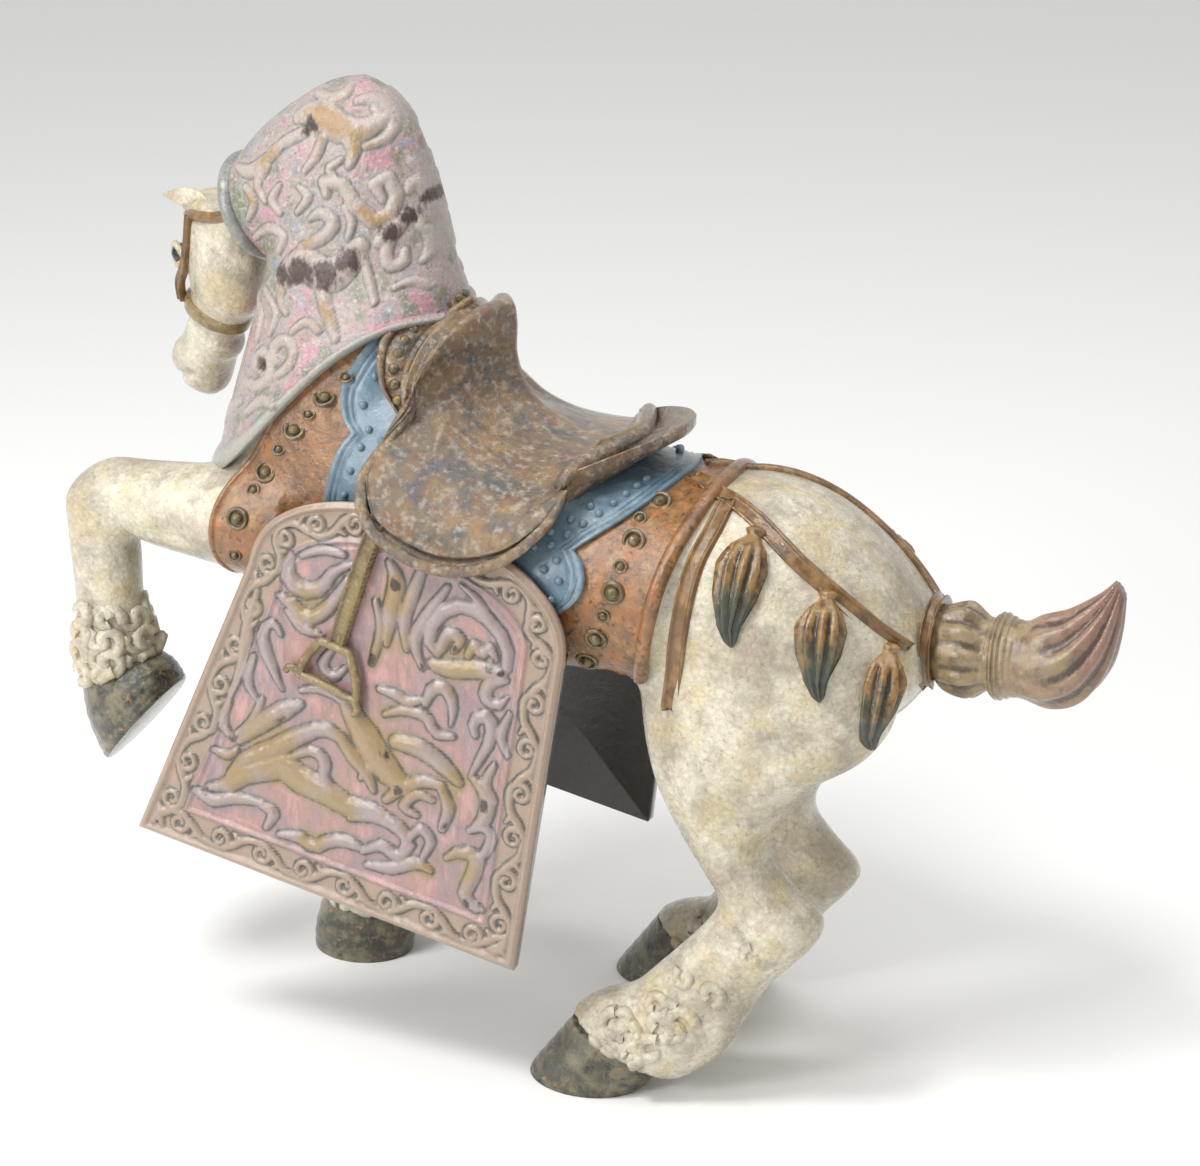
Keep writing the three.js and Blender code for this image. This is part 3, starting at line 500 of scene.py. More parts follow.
# Carving of the near flap in its own plane, and of the neck cover in side view: beasts that
# run over drifting clouds. Each stroke is its points and the half widths along it.
FLAP_RELIEF = [
    ([(51, 157), (51, 148), (59, 143), (68, 147), (73, 157), (81, 163)], [1.8, 3.2, 3.7, 3.2, 2.3, 1.4]),
    ([(49, 137), (55, 135), (64, 131), (71, 136), (77, 146), (80, 155)], [1.4, 2.8, 3.2, 3.2, 2.8, 1.8]),
    ([(56, 159), (65, 165), (76, 166)], [1.4, 2.3, 1.4]),
    ([(53, 119), (48, 123), (44, 117), (47, 109), (52, 102), (59, 93)], [1.4, 1.8, 2.3, 2.8, 2.3, 0.9]),
    ([(54, 131), (63, 126), (73, 125)], [1.4, 2.8, 0.9]),
    ([(38, 135), (36, 116), (37, 98), (33, 76)], [1.4, 2.3, 2.3, 0.9]),
    ([(42, 104), (41, 92), (48, 83)], [1.4, 2.3, 0.9]),
    ([(34, 79), (33, 67), (39, 61)], [1.4, 2.3, 1.4]),
    ([(98, 170), (103, 162), (103, 148), (104, 132)], [1.8, 3.7, 3.7, 1.4]),
    ([(114, 174), (112, 161), (110, 146), (114, 133)], [1.8, 2.8, 2.8, 1.4]),
    ([(95, 150), (100, 138), (99, 121)], [1.4, 2.3, 1.4]),
    ([(127, 168), (121, 153), (117, 139), (123, 127)], [1.4, 2.8, 2.8, 1.4]),
    ([(129, 136), (123, 142), (125, 153), (133, 161), (142, 162), (152, 158), (160, 150), (162, 141)],
     [1.8, 2.8, 3.2, 3.2, 3.2, 2.8, 2.8, 2.3]),
    ([(127, 130), (137, 131), (148, 135), (160, 137)], [2.3, 3.7, 3.7, 2.8]),
    ([(130, 139), (132, 147), (138, 146), (136, 140)], [2.3, 2.8, 2.3, 1.4]),
    ([(143, 140), (145, 146), (149, 143), (152, 147), (156, 143)], [1.8, 2.3, 2.3, 2.3, 1.4]),
    ([(133, 171), (142, 167), (150, 160), (159, 154)], [0.9, 1.8, 1.8, 0.9]),
    ([(163, 135), (156, 131), (155, 124), (161, 122), (165, 127)], [1.4, 2.8, 2.8, 2.3, 0.9]),
    ([(128, 111), (130, 119), (136, 121), (141, 115), (142, 105)], [1.8, 2.8, 2.8, 2.3, 0.9]),
    ([(105, 110), (113, 110), (120, 109), (126, 112)], [1.4, 2.3, 2.3, 1.4]),
    ([(154, 105), (152, 111), (157, 115), (161, 111), (161, 102), (158, 92), (156, 84)],
     [1.8, 2.3, 2.8, 2.8, 2.3, 1.8, 0.9]),
    ([(110, 99), (118, 104), (129, 105), (136, 99), (144, 100)], [1.4, 2.3, 2.3, 2.3, 1.4]),
    ([(168, 120), (166, 109), (171, 101)], [1.4, 2.3, 1.4]),
    ([(41, 43), (49, 55), (58, 61), (66, 69), (74, 76), (81, 81), (90, 81), (99, 74)],
     [1.8, 3.7, 4.1, 4.1, 3.7, 3.2, 2.8, 1.8]),
    ([(43, 61), (52, 73), (61, 83), (69, 89)], [1.8, 3.7, 4.1, 1.8]),
    ([(31, 52), (38, 52), (42, 56)], [1.4, 2.3, 1.4]),
    ([(70, 63), (79, 69), (86, 66), (87, 59), (93, 55)], [1.4, 2.3, 2.8, 2.3, 1.4]),
    ([(91, 80), (100, 73), (107, 68), (112, 61)], [2.3, 3.2, 2.8, 1.4]),
    ([(105, 65), (108, 71), (114, 72), (115, 67)], [1.4, 2.3, 1.8, 0.9]),
    ([(91, 98), (103, 85), (115, 74), (126, 68)], [3.2, 6.0, 6.0, 3.7]),
    ([(118, 88), (130, 89), (142, 85), (151, 80)], [3.2, 4.1, 3.7, 2.3]),
    ([(119, 59), (125, 67), (134, 74), (144, 75)], [1.8, 2.8, 2.8, 1.8]),
    ([(143, 75), (149, 66), (148, 55)], [1.8, 2.8, 1.8]),
    ([(158, 84), (166, 78), (167, 68), (163, 62)], [1.8, 3.7, 3.2, 1.4]),
    ([(32, 33), (42, 38), (48, 46), (57, 52), (66, 57), (76, 53), (89, 52), (101, 49), (114, 51), (128, 49)],
     [1.8, 3.7, 4.6, 5.5, 6.0, 6.0, 5.5, 4.6, 3.7, 2.3]),
    ([(26, 29), (35, 27), (45, 32), (60, 35)], [1.8, 2.8, 2.8, 1.4]),
    ([(59, 34), (66, 32), (64, 24)], [1.8, 2.8, 1.4]),
    ([(71, 23), (81, 25), (89, 23), (96, 29), (105, 32), (114, 31)], [1.4, 2.8, 2.8, 2.8, 2.8, 1.4]),
    ([(104, 44), (115, 49), (127, 48), (133, 43), (131, 35)], [1.8, 3.2, 3.2, 2.8, 1.4]),
    ([(113, 30), (121, 36), (130, 34), (136, 42)], [1.4, 2.8, 2.8, 1.4]),
    ([(134, 45), (138, 51), (144, 47), (142, 38)], [1.4, 2.3, 2.3, 1.4]),
    ([(116, 24), (128, 27), (139, 34), (147, 33)], [1.4, 2.8, 2.8, 1.4]),
    ([(153, 42), (160, 48), (168, 47), (167, 36), (165, 28), (170, 24), (175, 24)],
     [1.4, 2.8, 3.2, 3.2, 2.8, 2.8, 1.4]),
    ([(161, 59), (167, 63), (172, 60), (171, 52), (167, 47)], [1.4, 2.3, 2.3, 2.3, 1.4]),
    ([(166, 94), (164, 84), (170, 77)], [1.4, 2.3, 1.4]),
    ([(141, 67), (133, 67), (128, 59), (135, 57)], [1.4, 2.3, 2.3, 1.4]),
    ([(68, 96), (77, 100), (88, 99), (95, 95)], [1.4, 2.3, 2.3, 1.4]),
    ([(50, 85), (47, 72), (41, 64)], [1.4, 2.3, 1.4]),
    ([(79, 120), (76, 112), (82, 108), (87, 114)], [1.4, 2.3, 2.3, 1.4]),
]
# Where dark and ochre glaze lie on the carving: x, y and reach.
FLAP_DARK = [
    (62, 76, 5.1), (109, 94, 4.1), (116, 81, 4.1), (165, 74, 4.1), (103, 161, 3.2), (125, 128, 3.2),
    (154, 140, 3.7), (39, 60, 3.2), (124, 66, 3.2), (137, 141, 2.8), (160, 138, 2.8), (150, 57, 2.8),
    (99, 123, 3.7), (167, 23, 3.2), (31, 31, 2.8),
]
FLAP_OCHRE = [
    (108, 86, 22), (122, 72, 16), (60, 64, 17), (44, 46, 12), (72, 50, 15), (96, 46, 12), (103, 156, 10),
    (106, 128, 12), (140, 134, 13), (64, 138, 9), (152, 76, 12), (160, 40, 10), (146, 30, 8), (88, 26, 8),
]
NECK_RELIEF = [
    ([(-153, 434), (-145, 437), (-135, 435), (-127, 431), (-118, 432), (-112, 436), (-109, 439)],
     [2.3, 4.6, 5.1, 5.1, 4.1, 3.2, 1.4]),
    ([(-127, 430), (-122, 424), (-123, 417)], [2.8, 2.8, 1.8]),
    ([(-125, 443), (-120, 444), (-112, 441), (-108, 434), (-110, 428), (-117, 425)],
     [1.4, 2.3, 2.3, 2.3, 2.3, 1.4]),
    ([(-117, 440), (-113, 436), (-115, 432)], [1.4, 1.8, 1.4]),
    ([(-137, 427), (-139, 420), (-144, 413)], [2.3, 2.3, 1.4]),
    ([(-147, 429), (-156, 424), (-165, 418)], [2.3, 2.3, 1.4]),
    ([(-159, 421), (-168, 413), (-176, 408), (-185, 408)], [1.8, 2.8, 2.8, 1.4]),
    ([(-165, 412), (-170, 404), (-165, 397)], [1.8, 2.3, 1.4]),
    ([(-147, 444), (-137, 443), (-131, 446), (-131, 450)], [1.4, 2.3, 2.3, 1.4]),
    ([(-177, 401), (-172, 395), (-176, 387)], [1.8, 2.3, 1.4]),
    ([(-157, 405), (-161, 398), (-156, 393)], [1.4, 2.3, 1.4]),
    ([(-146, 406), (-141, 402), (-146, 395)], [1.4, 2.3, 1.4]),
    ([(-132, 404), (-135, 408), (-130, 411), (-123, 407), (-119, 400), (-113, 394), (-107, 393), (-104, 397),
      (-103, 404), (-106, 411), (-110, 412), (-112, 407), (-108, 402)],
     [1.8, 2.3, 2.3, 2.8, 2.8, 2.8, 2.8, 2.8, 2.3, 2.3, 2.3, 2.3, 1.4]),
    ([(-108, 384), (-103, 390), (-99, 395)], [2.3, 3.7, 2.3]),
    ([(-99, 405), (-98, 409), (-94, 407), (-91, 398), (-93, 392)], [1.4, 2.3, 2.8, 2.8, 1.4]),
    ([(-94, 390), (-90, 386), (-89, 379), (-91, 375)], [1.4, 2.3, 2.3, 1.4]),
    ([(-102, 388), (-105, 381), (-103, 374), (-98, 375), (-98, 380)], [1.8, 2.3, 2.3, 2.3, 1.4]),
    ([(-152, 367), (-143, 373), (-135, 371), (-127, 369), (-121, 374), (-116, 382)],
     [3.7, 6.0, 6.4, 6.4, 5.5, 3.7]),
    ([(-131, 364), (-127, 355), (-120, 344)], [3.2, 2.8, 1.8]),
    ([(-151, 364), (-153, 356), (-148, 351)], [2.3, 1.8, 1.4]),
    ([(-115, 381), (-111, 370), (-106, 359)], [1.4, 1.8, 1.4]),
    ([(-143, 380), (-133, 385), (-128, 392), (-134, 396), (-139, 393)], [1.8, 2.8, 2.8, 2.3, 1.4]),
    ([(-158, 324), (-164, 326), (-159, 332), (-153, 329), (-154, 321), (-164, 316), (-174, 318)],
     [1.8, 2.3, 2.3, 2.3, 2.3, 2.3, 1.4]),
    ([(-150, 330), (-153, 335), (-147, 340), (-141, 337), (-142, 330), (-149, 324)],
     [1.8, 2.3, 2.3, 2.3, 2.3, 1.4]),
    ([(-189, 291), (-183, 300), (-171, 308)], [1.8, 2.8, 1.4]),
    ([(-176, 353), (-165, 347), (-165, 336)], [1.4, 1.8, 1.4]),
    ([(-164, 357), (-154, 350), (-156, 340)], [1.4, 1.8, 0.9]),
    ([(-174, 378), (-163, 385), (-154, 383), (-156, 376)], [1.4, 2.3, 2.3, 1.4]),
    ([(-127, 419), (-132, 415), (-128, 411)], [1.4, 1.8, 0.9]),
    ([(-100, 418), (-96, 413), (-93, 406)], [1.4, 1.8, 1.4]),
    ([(-121, 386), (-120, 393), (-124, 399)], [1.4, 1.8, 0.9]),
    ([(-166, 304), (-156, 312), (-146, 312)], [1.4, 2.3, 1.4]),
    ([(-143, 344), (-136, 349), (-129, 346)], [1.4, 1.8, 1.4]),
    ([(-99, 365), (-93, 367), (-87, 364)], [1.4, 1.8, 1.4]),
]
NECK_DARK = [
    (-144, 431, 5), (-152, 366, 7), (-142, 369, 9), (-130, 369, 9), (-120, 376, 7.5), (-104, 388, 6),
    (-98, 395, 5.5), (-92, 402, 4), (-158, 327, 4),
]
NECK_OCHRE = [
    (-136, 433, 14), (-120, 426, 8), (-163, 416, 9), (-112, 396, 9), (-97, 402, 7), (-127, 352, 9),
    (-140, 385, 9), (-152, 358, 7), (-172, 398, 7), (-145, 333, 6),
]

# Glazes

def tone(code):
    """An sRGB hex colour as linear red, green, blue and 1."""
    parts = [int(code[i:i + 2], 16) / 255 for i in (1, 3, 5)]
    return tuple(c / 12.92 if c <= 0.04045 else ((c + 0.055) / 1.055) ** 2.4 for c in parts) + (1.0,)


def node(tree, kind, settings=None, sockets=None):
    """Adds a node, sets its properties, and fills or links its sockets by name or number."""
    made = tree.nodes.new(kind)
    for key, value in (settings or {}).items():
        setattr(made, key, value)
    for key, value in (sockets or {}).items():
        if isinstance(value, bpy.types.NodeSocket):
            tree.links.new(value, made.inputs[key])
        else:
            made.inputs[key].default_value = value
    return made


def maths(tree, operation, *values):
    """The result of a maths node over numbers or sockets."""
    return node(tree, "ShaderNodeMath", {"operation": operation}, dict(enumerate(values))).outputs[0]


def fired_glaze(
    name, ground, mottles=(), paints=(), gloss=(0.12, 0.34), relief=(0.3, 7.0), cells=(2.6, 0.07, 0.12),
    coat=0.55,
):
    """A fired glaze over cast clay.

    mottles are (colour, size in mm, start, full, strength) of drifting stains, with how many times
    longer than wide they run down the piece if they do, and paints are
    (mark, colour, start, full, break-up size in mm, strength) of what is painted by a mark.
    relief is the strength and the size in mm of its waves; cells are the size in mm, the line's
    share of it and its strength.
    """
    coating = bpy.data.materials.new(name)
    coating.use_nodes = True
    tree = coating.node_tree
    tree.nodes.clear()
    place = node(tree, "ShaderNodeTexCoord").outputs["Object"]
    colour = node(tree, "ShaderNodeRGB").outputs[0]
    colour.default_value = tone(ground) if isinstance(ground, str) else ground

    def noise(size, detail=4.0, rough=0.6, seed=0.0, run=1.0):
        shifted = node(tree, "ShaderNodeVectorMath", {"operation": "MULTIPLY_ADD"}, {
            0: place, 1: (1.0, 1.0, 1.0 / run), 2: (seed, seed * 0.7, -seed),
        })
        return node(tree, "ShaderNodeTexNoise", {}, {
            "Vector": shifted.outputs[0], "Scale": 1000 / size, "Detail": detail, "Roughness": rough,
        }).outputs["Fac"]

    def over(share, below, above):
        sockets = {0: share, 6: below, 7: tone(above)}
        return node(tree, "ShaderNodeMix", {"data_type": "RGBA"}, sockets).outputs[2]

    def gate(value, start, full, strength):
        return node(tree, "ShaderNodeMapRange", {"clamp": True}, {
            "Value": value, "From Min": start, "From Max": full, "To Min": 0.0, "To Max": strength,
        }).outputs[0]

    for k, (stain, size, start, full, strength, *run) in enumerate(mottles):
        drift = noise(size, seed=0.13 * (k + 1), run=run[0] if run else 1.0)
        colour = over(gate(drift, start, full, strength), colour, stain)
    for k, (mark, paint, start, full, size, strength) in enumerate(paints):
        value = node(tree, "ShaderNodeAttribute", {"attribute_name": mark}).outputs["Fac"]
        broken = maths(tree, "MULTIPLY_ADD", noise(size, seed=1.1 + 0.21 * k, run=2.5), 1.3, -0.65)
        colour = over(gate(maths(tree, "ADD", value, broken), start, full, strength), colour, paint)
    # The glaze beads into cells, a few mm across, and is darker in the net of lines between them.
    bent = node(tree, "ShaderNodeVectorMath", {"operation": "MULTIPLY_ADD"}, {
        0: node(tree, "ShaderNodeTexNoise", {}, {"Vector": place, "Scale": 500.0}).outputs["Color"],
        1: (0.004, 0.004, 0.004), 2: place,
    }).outputs[0]
    craze = node(tree, "ShaderNodeTexVoronoi", {"feature": "DISTANCE_TO_EDGE"}, {
        "Vector": bent, "Scale": 1000 / cells[0],
    })
    lines = gate(craze.outputs["Distance"], cells[1], 0.0, cells[2])
    dark = node(tree, "ShaderNodeMix", {"data_type": "RGBA", "blend_type": "MULTIPLY"}, {
        0: lines, 6: colour, 7: tone("#5a4c40"),
    }).outputs[2]
    waves = maths(tree, "MULTIPLY_ADD", noise(0.9, 5.0, 0.7), 0.35, noise(relief[1], 3.0))
    bump = node(tree, "ShaderNodeBump", {}, {"Strength": relief[0], "Distance": 0.002, "Height": waves})
    rough = node(tree, "ShaderNodeMapRange", {}, {
        "Value": noise(3.2), "From Min": 0.3, "From Max": 0.7, "To Min": gloss[0], "To Max": gloss[1],
    }).outputs[0]
    shade = node(tree, "ShaderNodeBsdfPrincipled", {}, {
        "Base Color": dark, "Roughness": rough, "Normal": bump.outputs[0], "IOR": 1.5,
        "Coat Weight": coat, "Coat Roughness": 0.08, "Coat IOR": 1.5,
        "Coat Normal": bump.outputs[0],
    })
    node(tree, "ShaderNodeOutputMaterial", {}, {"Surface": shade.outputs[0]})
    return coating


GLAZES = {}


def glaze(key):
    """The glazes of the figurine, each mixed once."""
    if key in GLAZES:
        return GLAZES[key]
    look = bpy.context.scene.horse_glazes
    recipes = {
        # Cream felspar glaze: beads into warm white cells and breaks to grey-brown where it is thin.
        "cream": lambda: fired_glaze("cream_felspar_glaze", look.cream, [
            ("#978b73", 36, 0.44, 0.64, 0.7), ("#8a8172", 11, 0.48, 0.66, 0.5),
            ("#cdb985", 20, 0.5, 0.64, 0.55), ("#a98d84", 12, 0.55, 0.68, 0.4),
            ("#6b6152", 2.4, 0.56, 0.72, 0.45),
        ], relief=(0.5, 5.0), cells=(4.0, 0.3, 0.2)),
        # Rose glaze over the relief of the flaps: grey lavender on the ridges, ochre streaks on the
        # beasts, grey-green drawn along every edge, and near-black painted shade over the backs of the
        # flaps, where they face the body.
        "rose": lambda: fired_glaze("rose_relief_glaze", look.rose, [
            ("#85767f", 16, 0.44, 0.62, 0.7, 2.0), ("#c99b95", 8, 0.5, 0.66, 0.55, 2.5),
            ("#80705f", 4, 0.52, 0.66, 0.65, 4.0),
        ], [
            ("halo", "#8b7d7f", 0.2, 1.1, 4.0, 0.8), ("crest", "#9a8f8b", 0.1, 0.8, 3.0, 0.7),
            ("band", "#9c8972", 0.35, 0.85, 6.0, 0.75), ("rise", "#927a4c", 0.1, 0.7, 3.5, 0.85),
            ("outline", "#3a3f35", 0.3, 0.9, 3.0, 0.85),
            # hollow is painted shade: near black over the backs of the flaps.
            ("dark", "#2f1d17", 0.3, 0.6, 3.0, 0.95), ("hollow", "#1d1815", 0.3, 0.6, 30.0, 1.0),
        ], gloss=(0.1, 0.3), relief=(0.3, 5.0), coat=0.8),
        # The same glaze on the neck cover, broken up by grey-green, blue and pale flecks.
        "hood": lambda: fired_glaze("rose_grey_glaze", look.hood, [
            ("#b5808b", 24, 0.46, 0.6, 0.85), ("#6f775f", 12, 0.5, 0.62, 0.85),
            ("#868d99", 8, 0.52, 0.66, 0.7), ("#bdb4ab", 2.4, 0.54, 0.66, 0.7),
            ("#6b5d51", 1.8, 0.56, 0.68, 0.7),
        ], [
            ("band", "#a3a69c", 0.35, 0.85, 4.0, 0.8), ("halo", "#a39a93", 0.3, 1.1, 4.0, 0.7),
            ("crest", "#b3a69d", 0.15, 0.6, 3.0, 0.6),
            ("rise", "#9a7a4c", 0.25, 0.7, 3.0, 0.85), ("outline", "#505349", 0.4, 1.1, 3.0, 0.75),
            ("dark", "#351c14", 0.4, 0.75, 2.5, 0.95),
        ], gloss=(0.16, 0.4), relief=(0.5, 3.0)),
        # Iron amber glaze: runs from orange to treacle brown.
        "amber": lambda: fired_glaze("iron_amber_glaze", look.amber, [
            ("#54341a", 16, 0.42, 0.66, 0.8, 2.0), ("#b58650", 6, 0.48, 0.7, 0.6),
            ("#a55f24", 10, 0.52, 0.66, 0.65, 2.0), ("#341f10", 3, 0.56, 0.67, 0.75),
        ], gloss=(0.08, 0.28), relief=(0.4, 4.0), coat=0.8),
        # Smoky blue glaze, chalky where it is thick.
        "blue": lambda: fired_glaze("smoky_blue_glaze", look.blue, [
            ("#93a4ac", 9, 0.5, 0.7, 0.6), ("#4d6170", 5, 0.53, 0.7, 0.6),
            ("#7d6a55", 3, 0.62, 0.72, 0.6),
        ], [("line", "#3f4e59", 0.4, 0.9, 4.0, 0.8)], gloss=(0.14, 0.34)),
        # Tortoiseshell glaze of the saddle: ochre, olive and blue-black run together, very glossy.
        "saddle": lambda: fired_glaze("tortoiseshell_glaze", look.saddle, [
            ("#94703a", 20, 0.42, 0.68, 0.85), ("#343d46", 12, 0.46, 0.66, 0.85),
            ("#6d3f1e", 9, 0.48, 0.7, 0.7), ("#b5aa98", 4, 0.5, 0.74, 0.75),
            ("#2c2620", 3.2, 0.54, 0.74, 0.7),
        ], [("rise", "#8d7449", 0.4, 0.9, 6.0, 0.8), ("groove", "#2a221b", 0.4, 0.9, 6.0, 0.8)],
            gloss=(0.05, 0.18), relief=(0.8, 4.5), coat=1.0),
        # Honey slip of the stirrups and the noseband.
        "ochre": lambda: fired_glaze("honey_slip_glaze", look.ochre, [
            ("#5f4a2b", 8, 0.48, 0.66, 0.75), ("#b8a26e", 3, 0.54, 0.7, 0.5),
            ("#6d6f56", 5, 0.58, 0.7, 0.5),
        ]),
        # Olive glaze of the studs and the crescent's beads, dark where it pools.
        "stud": lambda: fired_glaze("olive_pool_glaze", "#6d5c38", [
            ("#3b3826", 4, 0.45, 0.62, 0.8), ("#a8905c", 3, 0.58, 0.7, 0.6),
        ], gloss=(0.06, 0.2)),
        # Amber-brown slip of the straps, lighter where it breaks over an edge.
        "strap": lambda: fired_glaze("brown_slip_glaze", look.strap, [
            ("#4d3119", 14, 0.44, 0.64, 0.75, 1.6), ("#ab8450", 6, 0.48, 0.68, 0.6, 1.6),
        ], gloss=(0.08, 0.26)),
        # Tassels run from ochre to a green-black end.
        "tassel": lambda: fired_glaze("green_run_glaze", "#8f6d3d", [
            ("#4d3019", 5, 0.48, 0.64, 0.8), ("#b49a63", 3, 0.58, 0.7, 0.5),
        ], [
            ("drop", "#3a4530", 0.3, 0.7, 5.0, 0.95), ("drop", "#141c17", 0.6, 1.05, 4.0, 0.85),
            ("groove", "#17140d", 0.25, 0.7, 3.0, 0.9),
        ], gloss=(0.07, 0.22)),
        # Umber glaze of the bound tail, rose towards the brush's end.
        "tail": lambda: fired_glaze("umber_rose_glaze", "#94805f", [
            ("#5f4c35", 8, 0.46, 0.64, 0.8), ("#b3a58c", 4, 0.56, 0.7, 0.6),
        ], [
            ("drop", "#8c655a", 0.5, 0.85, 9.0, 0.8), ("drop", "#5f3f33", 0.9, 1.4, 6.0, 0.75),
            ("groove", "#3a2a20", 0.3, 0.8, 3.0, 0.85),
        ]),
        # Hooves: olive-brown iron glaze flecked with orange where it breaks.
        "hoof": lambda: fired_glaze("olive_iron_glaze", "#444034", [
            ("#787156", 9, 0.44, 0.62, 0.85), ("#191713", 7, 0.5, 0.64, 0.8),
            ("#a5723a", 3.4, 0.6, 0.7, 0.8),
        ], gloss=(0.08, 0.3), relief=(0.5, 4.0)),
        # Grey-blue glaze of the roll round the neck cover's opening.
        "roll": lambda: fired_glaze("grey_blue_glaze", "#80837f", [
            ("#a19e93", 6, 0.48, 0.66, 0.7), ("#565853", 4, 0.53, 0.68, 0.7),
        ]),
        # Near-black glaze of the eyes.
        "ink": lambda: fired_glaze(
            "black_glaze", "#17120f", [("#3a2417", 4, 0.5, 0.7, 0.6)], gloss=(0.05, 0.12),
        ),
    }
    GLAZES[key] = recipes[key]()
    return GLAZES[key]


# Node trees for what repeats

def tree_with(name, sizes):
    """A geometry tree that takes places, named sizes and a glaze."""
    tree = bpy.data.node_groups.new(name, "GeometryNodeTree")
    tree.interface.new_socket("Places", in_out="INPUT", socket_type="NodeSocketGeometry")
    for label, value in sizes.items():
        kind = "NodeSocketInt" if isinstance(value, int) else "NodeSocketFloat"
        tree.interface.new_socket(label, in_out="INPUT", socket_type=kind).default_value = value
    tree.interface.new_socket("Glaze", in_out="INPUT", socket_type="NodeSocketMaterial")
    tree.interface.new_socket("Form", in_out="OUTPUT", socket_type="NodeSocketGeometry")
    return tree, tree.nodes.new("NodeGroupInput")


def set_on_places(tree, given, shape, spin=None):
    """Sets a shape on every place, upright on its way out, and ends the tree."""
    def named(kind, name):
        return node(tree, "GeometryNodeInputNamedAttribute", {"data_type": kind}, {"Name": name}).outputs[0]

    out, share = named("FLOAT_VECTOR", "out"), named("FLOAT", "share")
    turned = node(tree, "FunctionNodeAlignRotationToVector", {"axis": "Z"}, {"Vector": out})
    if spin is not None:
        turned = node(tree, "FunctionNodeRotateRotation", {"rotation_space": "LOCAL"}, {
            0: turned.outputs[0], 1: spin,
        })
    set_down = node(tree, "GeometryNodeInstanceOnPoints", {}, {
        "Points": given.outputs["Places"], "Instance": shape, "Rotation": turned.outputs[0], "Scale": share,
    })
    real = node(tree, "GeometryNodeRealizeInstances", {}, {0: set_down.outputs[0]})
    fired = node(tree, "GeometryNodeSetMaterial", {}, {
        "Geometry": real.outputs[0], "Material": given.outputs["Glaze"],
    })
    node(tree, "NodeGroupOutput", {}, {0: fired.outputs[0]})
    return tree


def stud_tree():
    """A domed stud in a ring."""
    tree, given = tree_with("ringed_studs", {"Diameter": 0.01, "Height": 0.0026})
    diameter = given.outputs["Diameter"]
    radius = maths(tree, "MULTIPLY", diameter, 0.27)
    dome = node(tree, "GeometryNodeMeshUVSphere", {}, {"Segments": 20, "Rings": 12, "Radius": radius})
    ring, wire = (
        node(tree, "GeometryNodeCurvePrimitiveCircle", {}, {
            "Resolution": sides, "Radius": maths(tree, "MULTIPLY", size, share),
        }).outputs[0]
        for sides, size, share in ((26, diameter, 0.43), (8, given.outputs["Height"], 0.4))
    )
    rim = node(tree, "GeometryNodeCurveToMesh", {}, {"Curve": ring, "Profile Curve": wire})
    both = node(tree, "GeometryNodeJoinGeometry")
    tree.links.new(dome.outputs[0], both.inputs[0])
    tree.links.new(rim.outputs[0], both.inputs[0])
    return set_on_places(tree, given, both.outputs[0])


def bead_tree():
    """A plain round bead."""
    tree, given = tree_with("round_beads", {"Diameter": 0.004})
    radius = maths(tree, "MULTIPLY", given.outputs["Diameter"], 0.5)
    bead = node(tree, "GeometryNodeMeshUVSphere", {}, {"Segments": 16, "Rings": 10, "Radius": radius})
    return set_on_places(tree, given, bead.outputs[0])


def lock_tree():
    """A lock of hair, curled flat, turned a little differently at each place by the seed."""
    tree, given = tree_with("curled_locks", {"Length": 0.009, "Thickness": 0.0024, "Seed": SEED})
    length = given.outputs["Length"]
    coil = node(tree, "GeometryNodeCurveSpiral", {}, {
        "Resolution": 12, "Rotations": 0.85, "Start Radius": maths(tree, "MULTIPLY", length, 0.16),
        "End Radius": maths(tree, "MULTIPLY", length, 0.5), "Height": 0.0,
    })
    radius = maths(tree, "MULTIPLY", given.outputs["Thickness"], 0.5)
    strand = node(tree, "GeometryNodeCurvePrimitiveCircle", {}, {"Resolution": 6, "Radius": radius})
    lock = node(tree, "GeometryNodeCurveToMesh", {}, {
        "Curve": coil.outputs[0], "Profile Curve": strand.outputs[0], "Fill Caps": True,
    })
    turn = node(tree, "FunctionNodeRandomValue", {"data_type": "FLOAT"}, {
        2: 0.0, 3: 6.28, "Seed": given.outputs["Seed"],
    }).outputs[1]
    about = node(tree, "ShaderNodeCombineXYZ", {}, {"Z": turn}).outputs[0]
    spin = node(tree, "FunctionNodeEulerToRotation", {}, {0: about}).outputs[0]
    return set_on_places(tree, given, lock.outputs[0], spin)


def repeated(name, places, outs, shares, tree, sizes, coating):
    """Runs a tree over places in millimetres and keeps the result as one plain piece."""
    mesh = bpy.data.meshes.new(name)
    mesh.from_pydata(to_frame(places).tolist(), [], [])
    for mark, kind, key, values in (("out", "FLOAT_VECTOR", "vector", outs), ("share", "FLOAT", "value", shares)):
        layer = mesh.attributes.new(mark, kind, "POINT")
        layer.data.foreach_set(key, np.asarray(values, np.float32).ravel())
    shown = bpy.data.objects.new(name, mesh)
    bpy.context.scene.collection.objects.link(shown)
    made = shown.modifiers.new("repeat", "NODES")
    made.node_group = tree
    for socket in tree.interface.items_tree:
        if socket.in_out == "INPUT" and socket.name in sizes:
            made[socket.identifier] = sizes[socket.name]
        elif socket.in_out == "INPUT" and socket.name == "Glaze":
            made[socket.identifier] = coating
    return finished(name, plain_copy(shown), coating)


# Settings

def size_setting(name, description, default, low, high):
    return bpy.props.FloatProperty(
        name=name, description=description, default=default, min=low, max=high, unit="LENGTH", precision=4,
    )


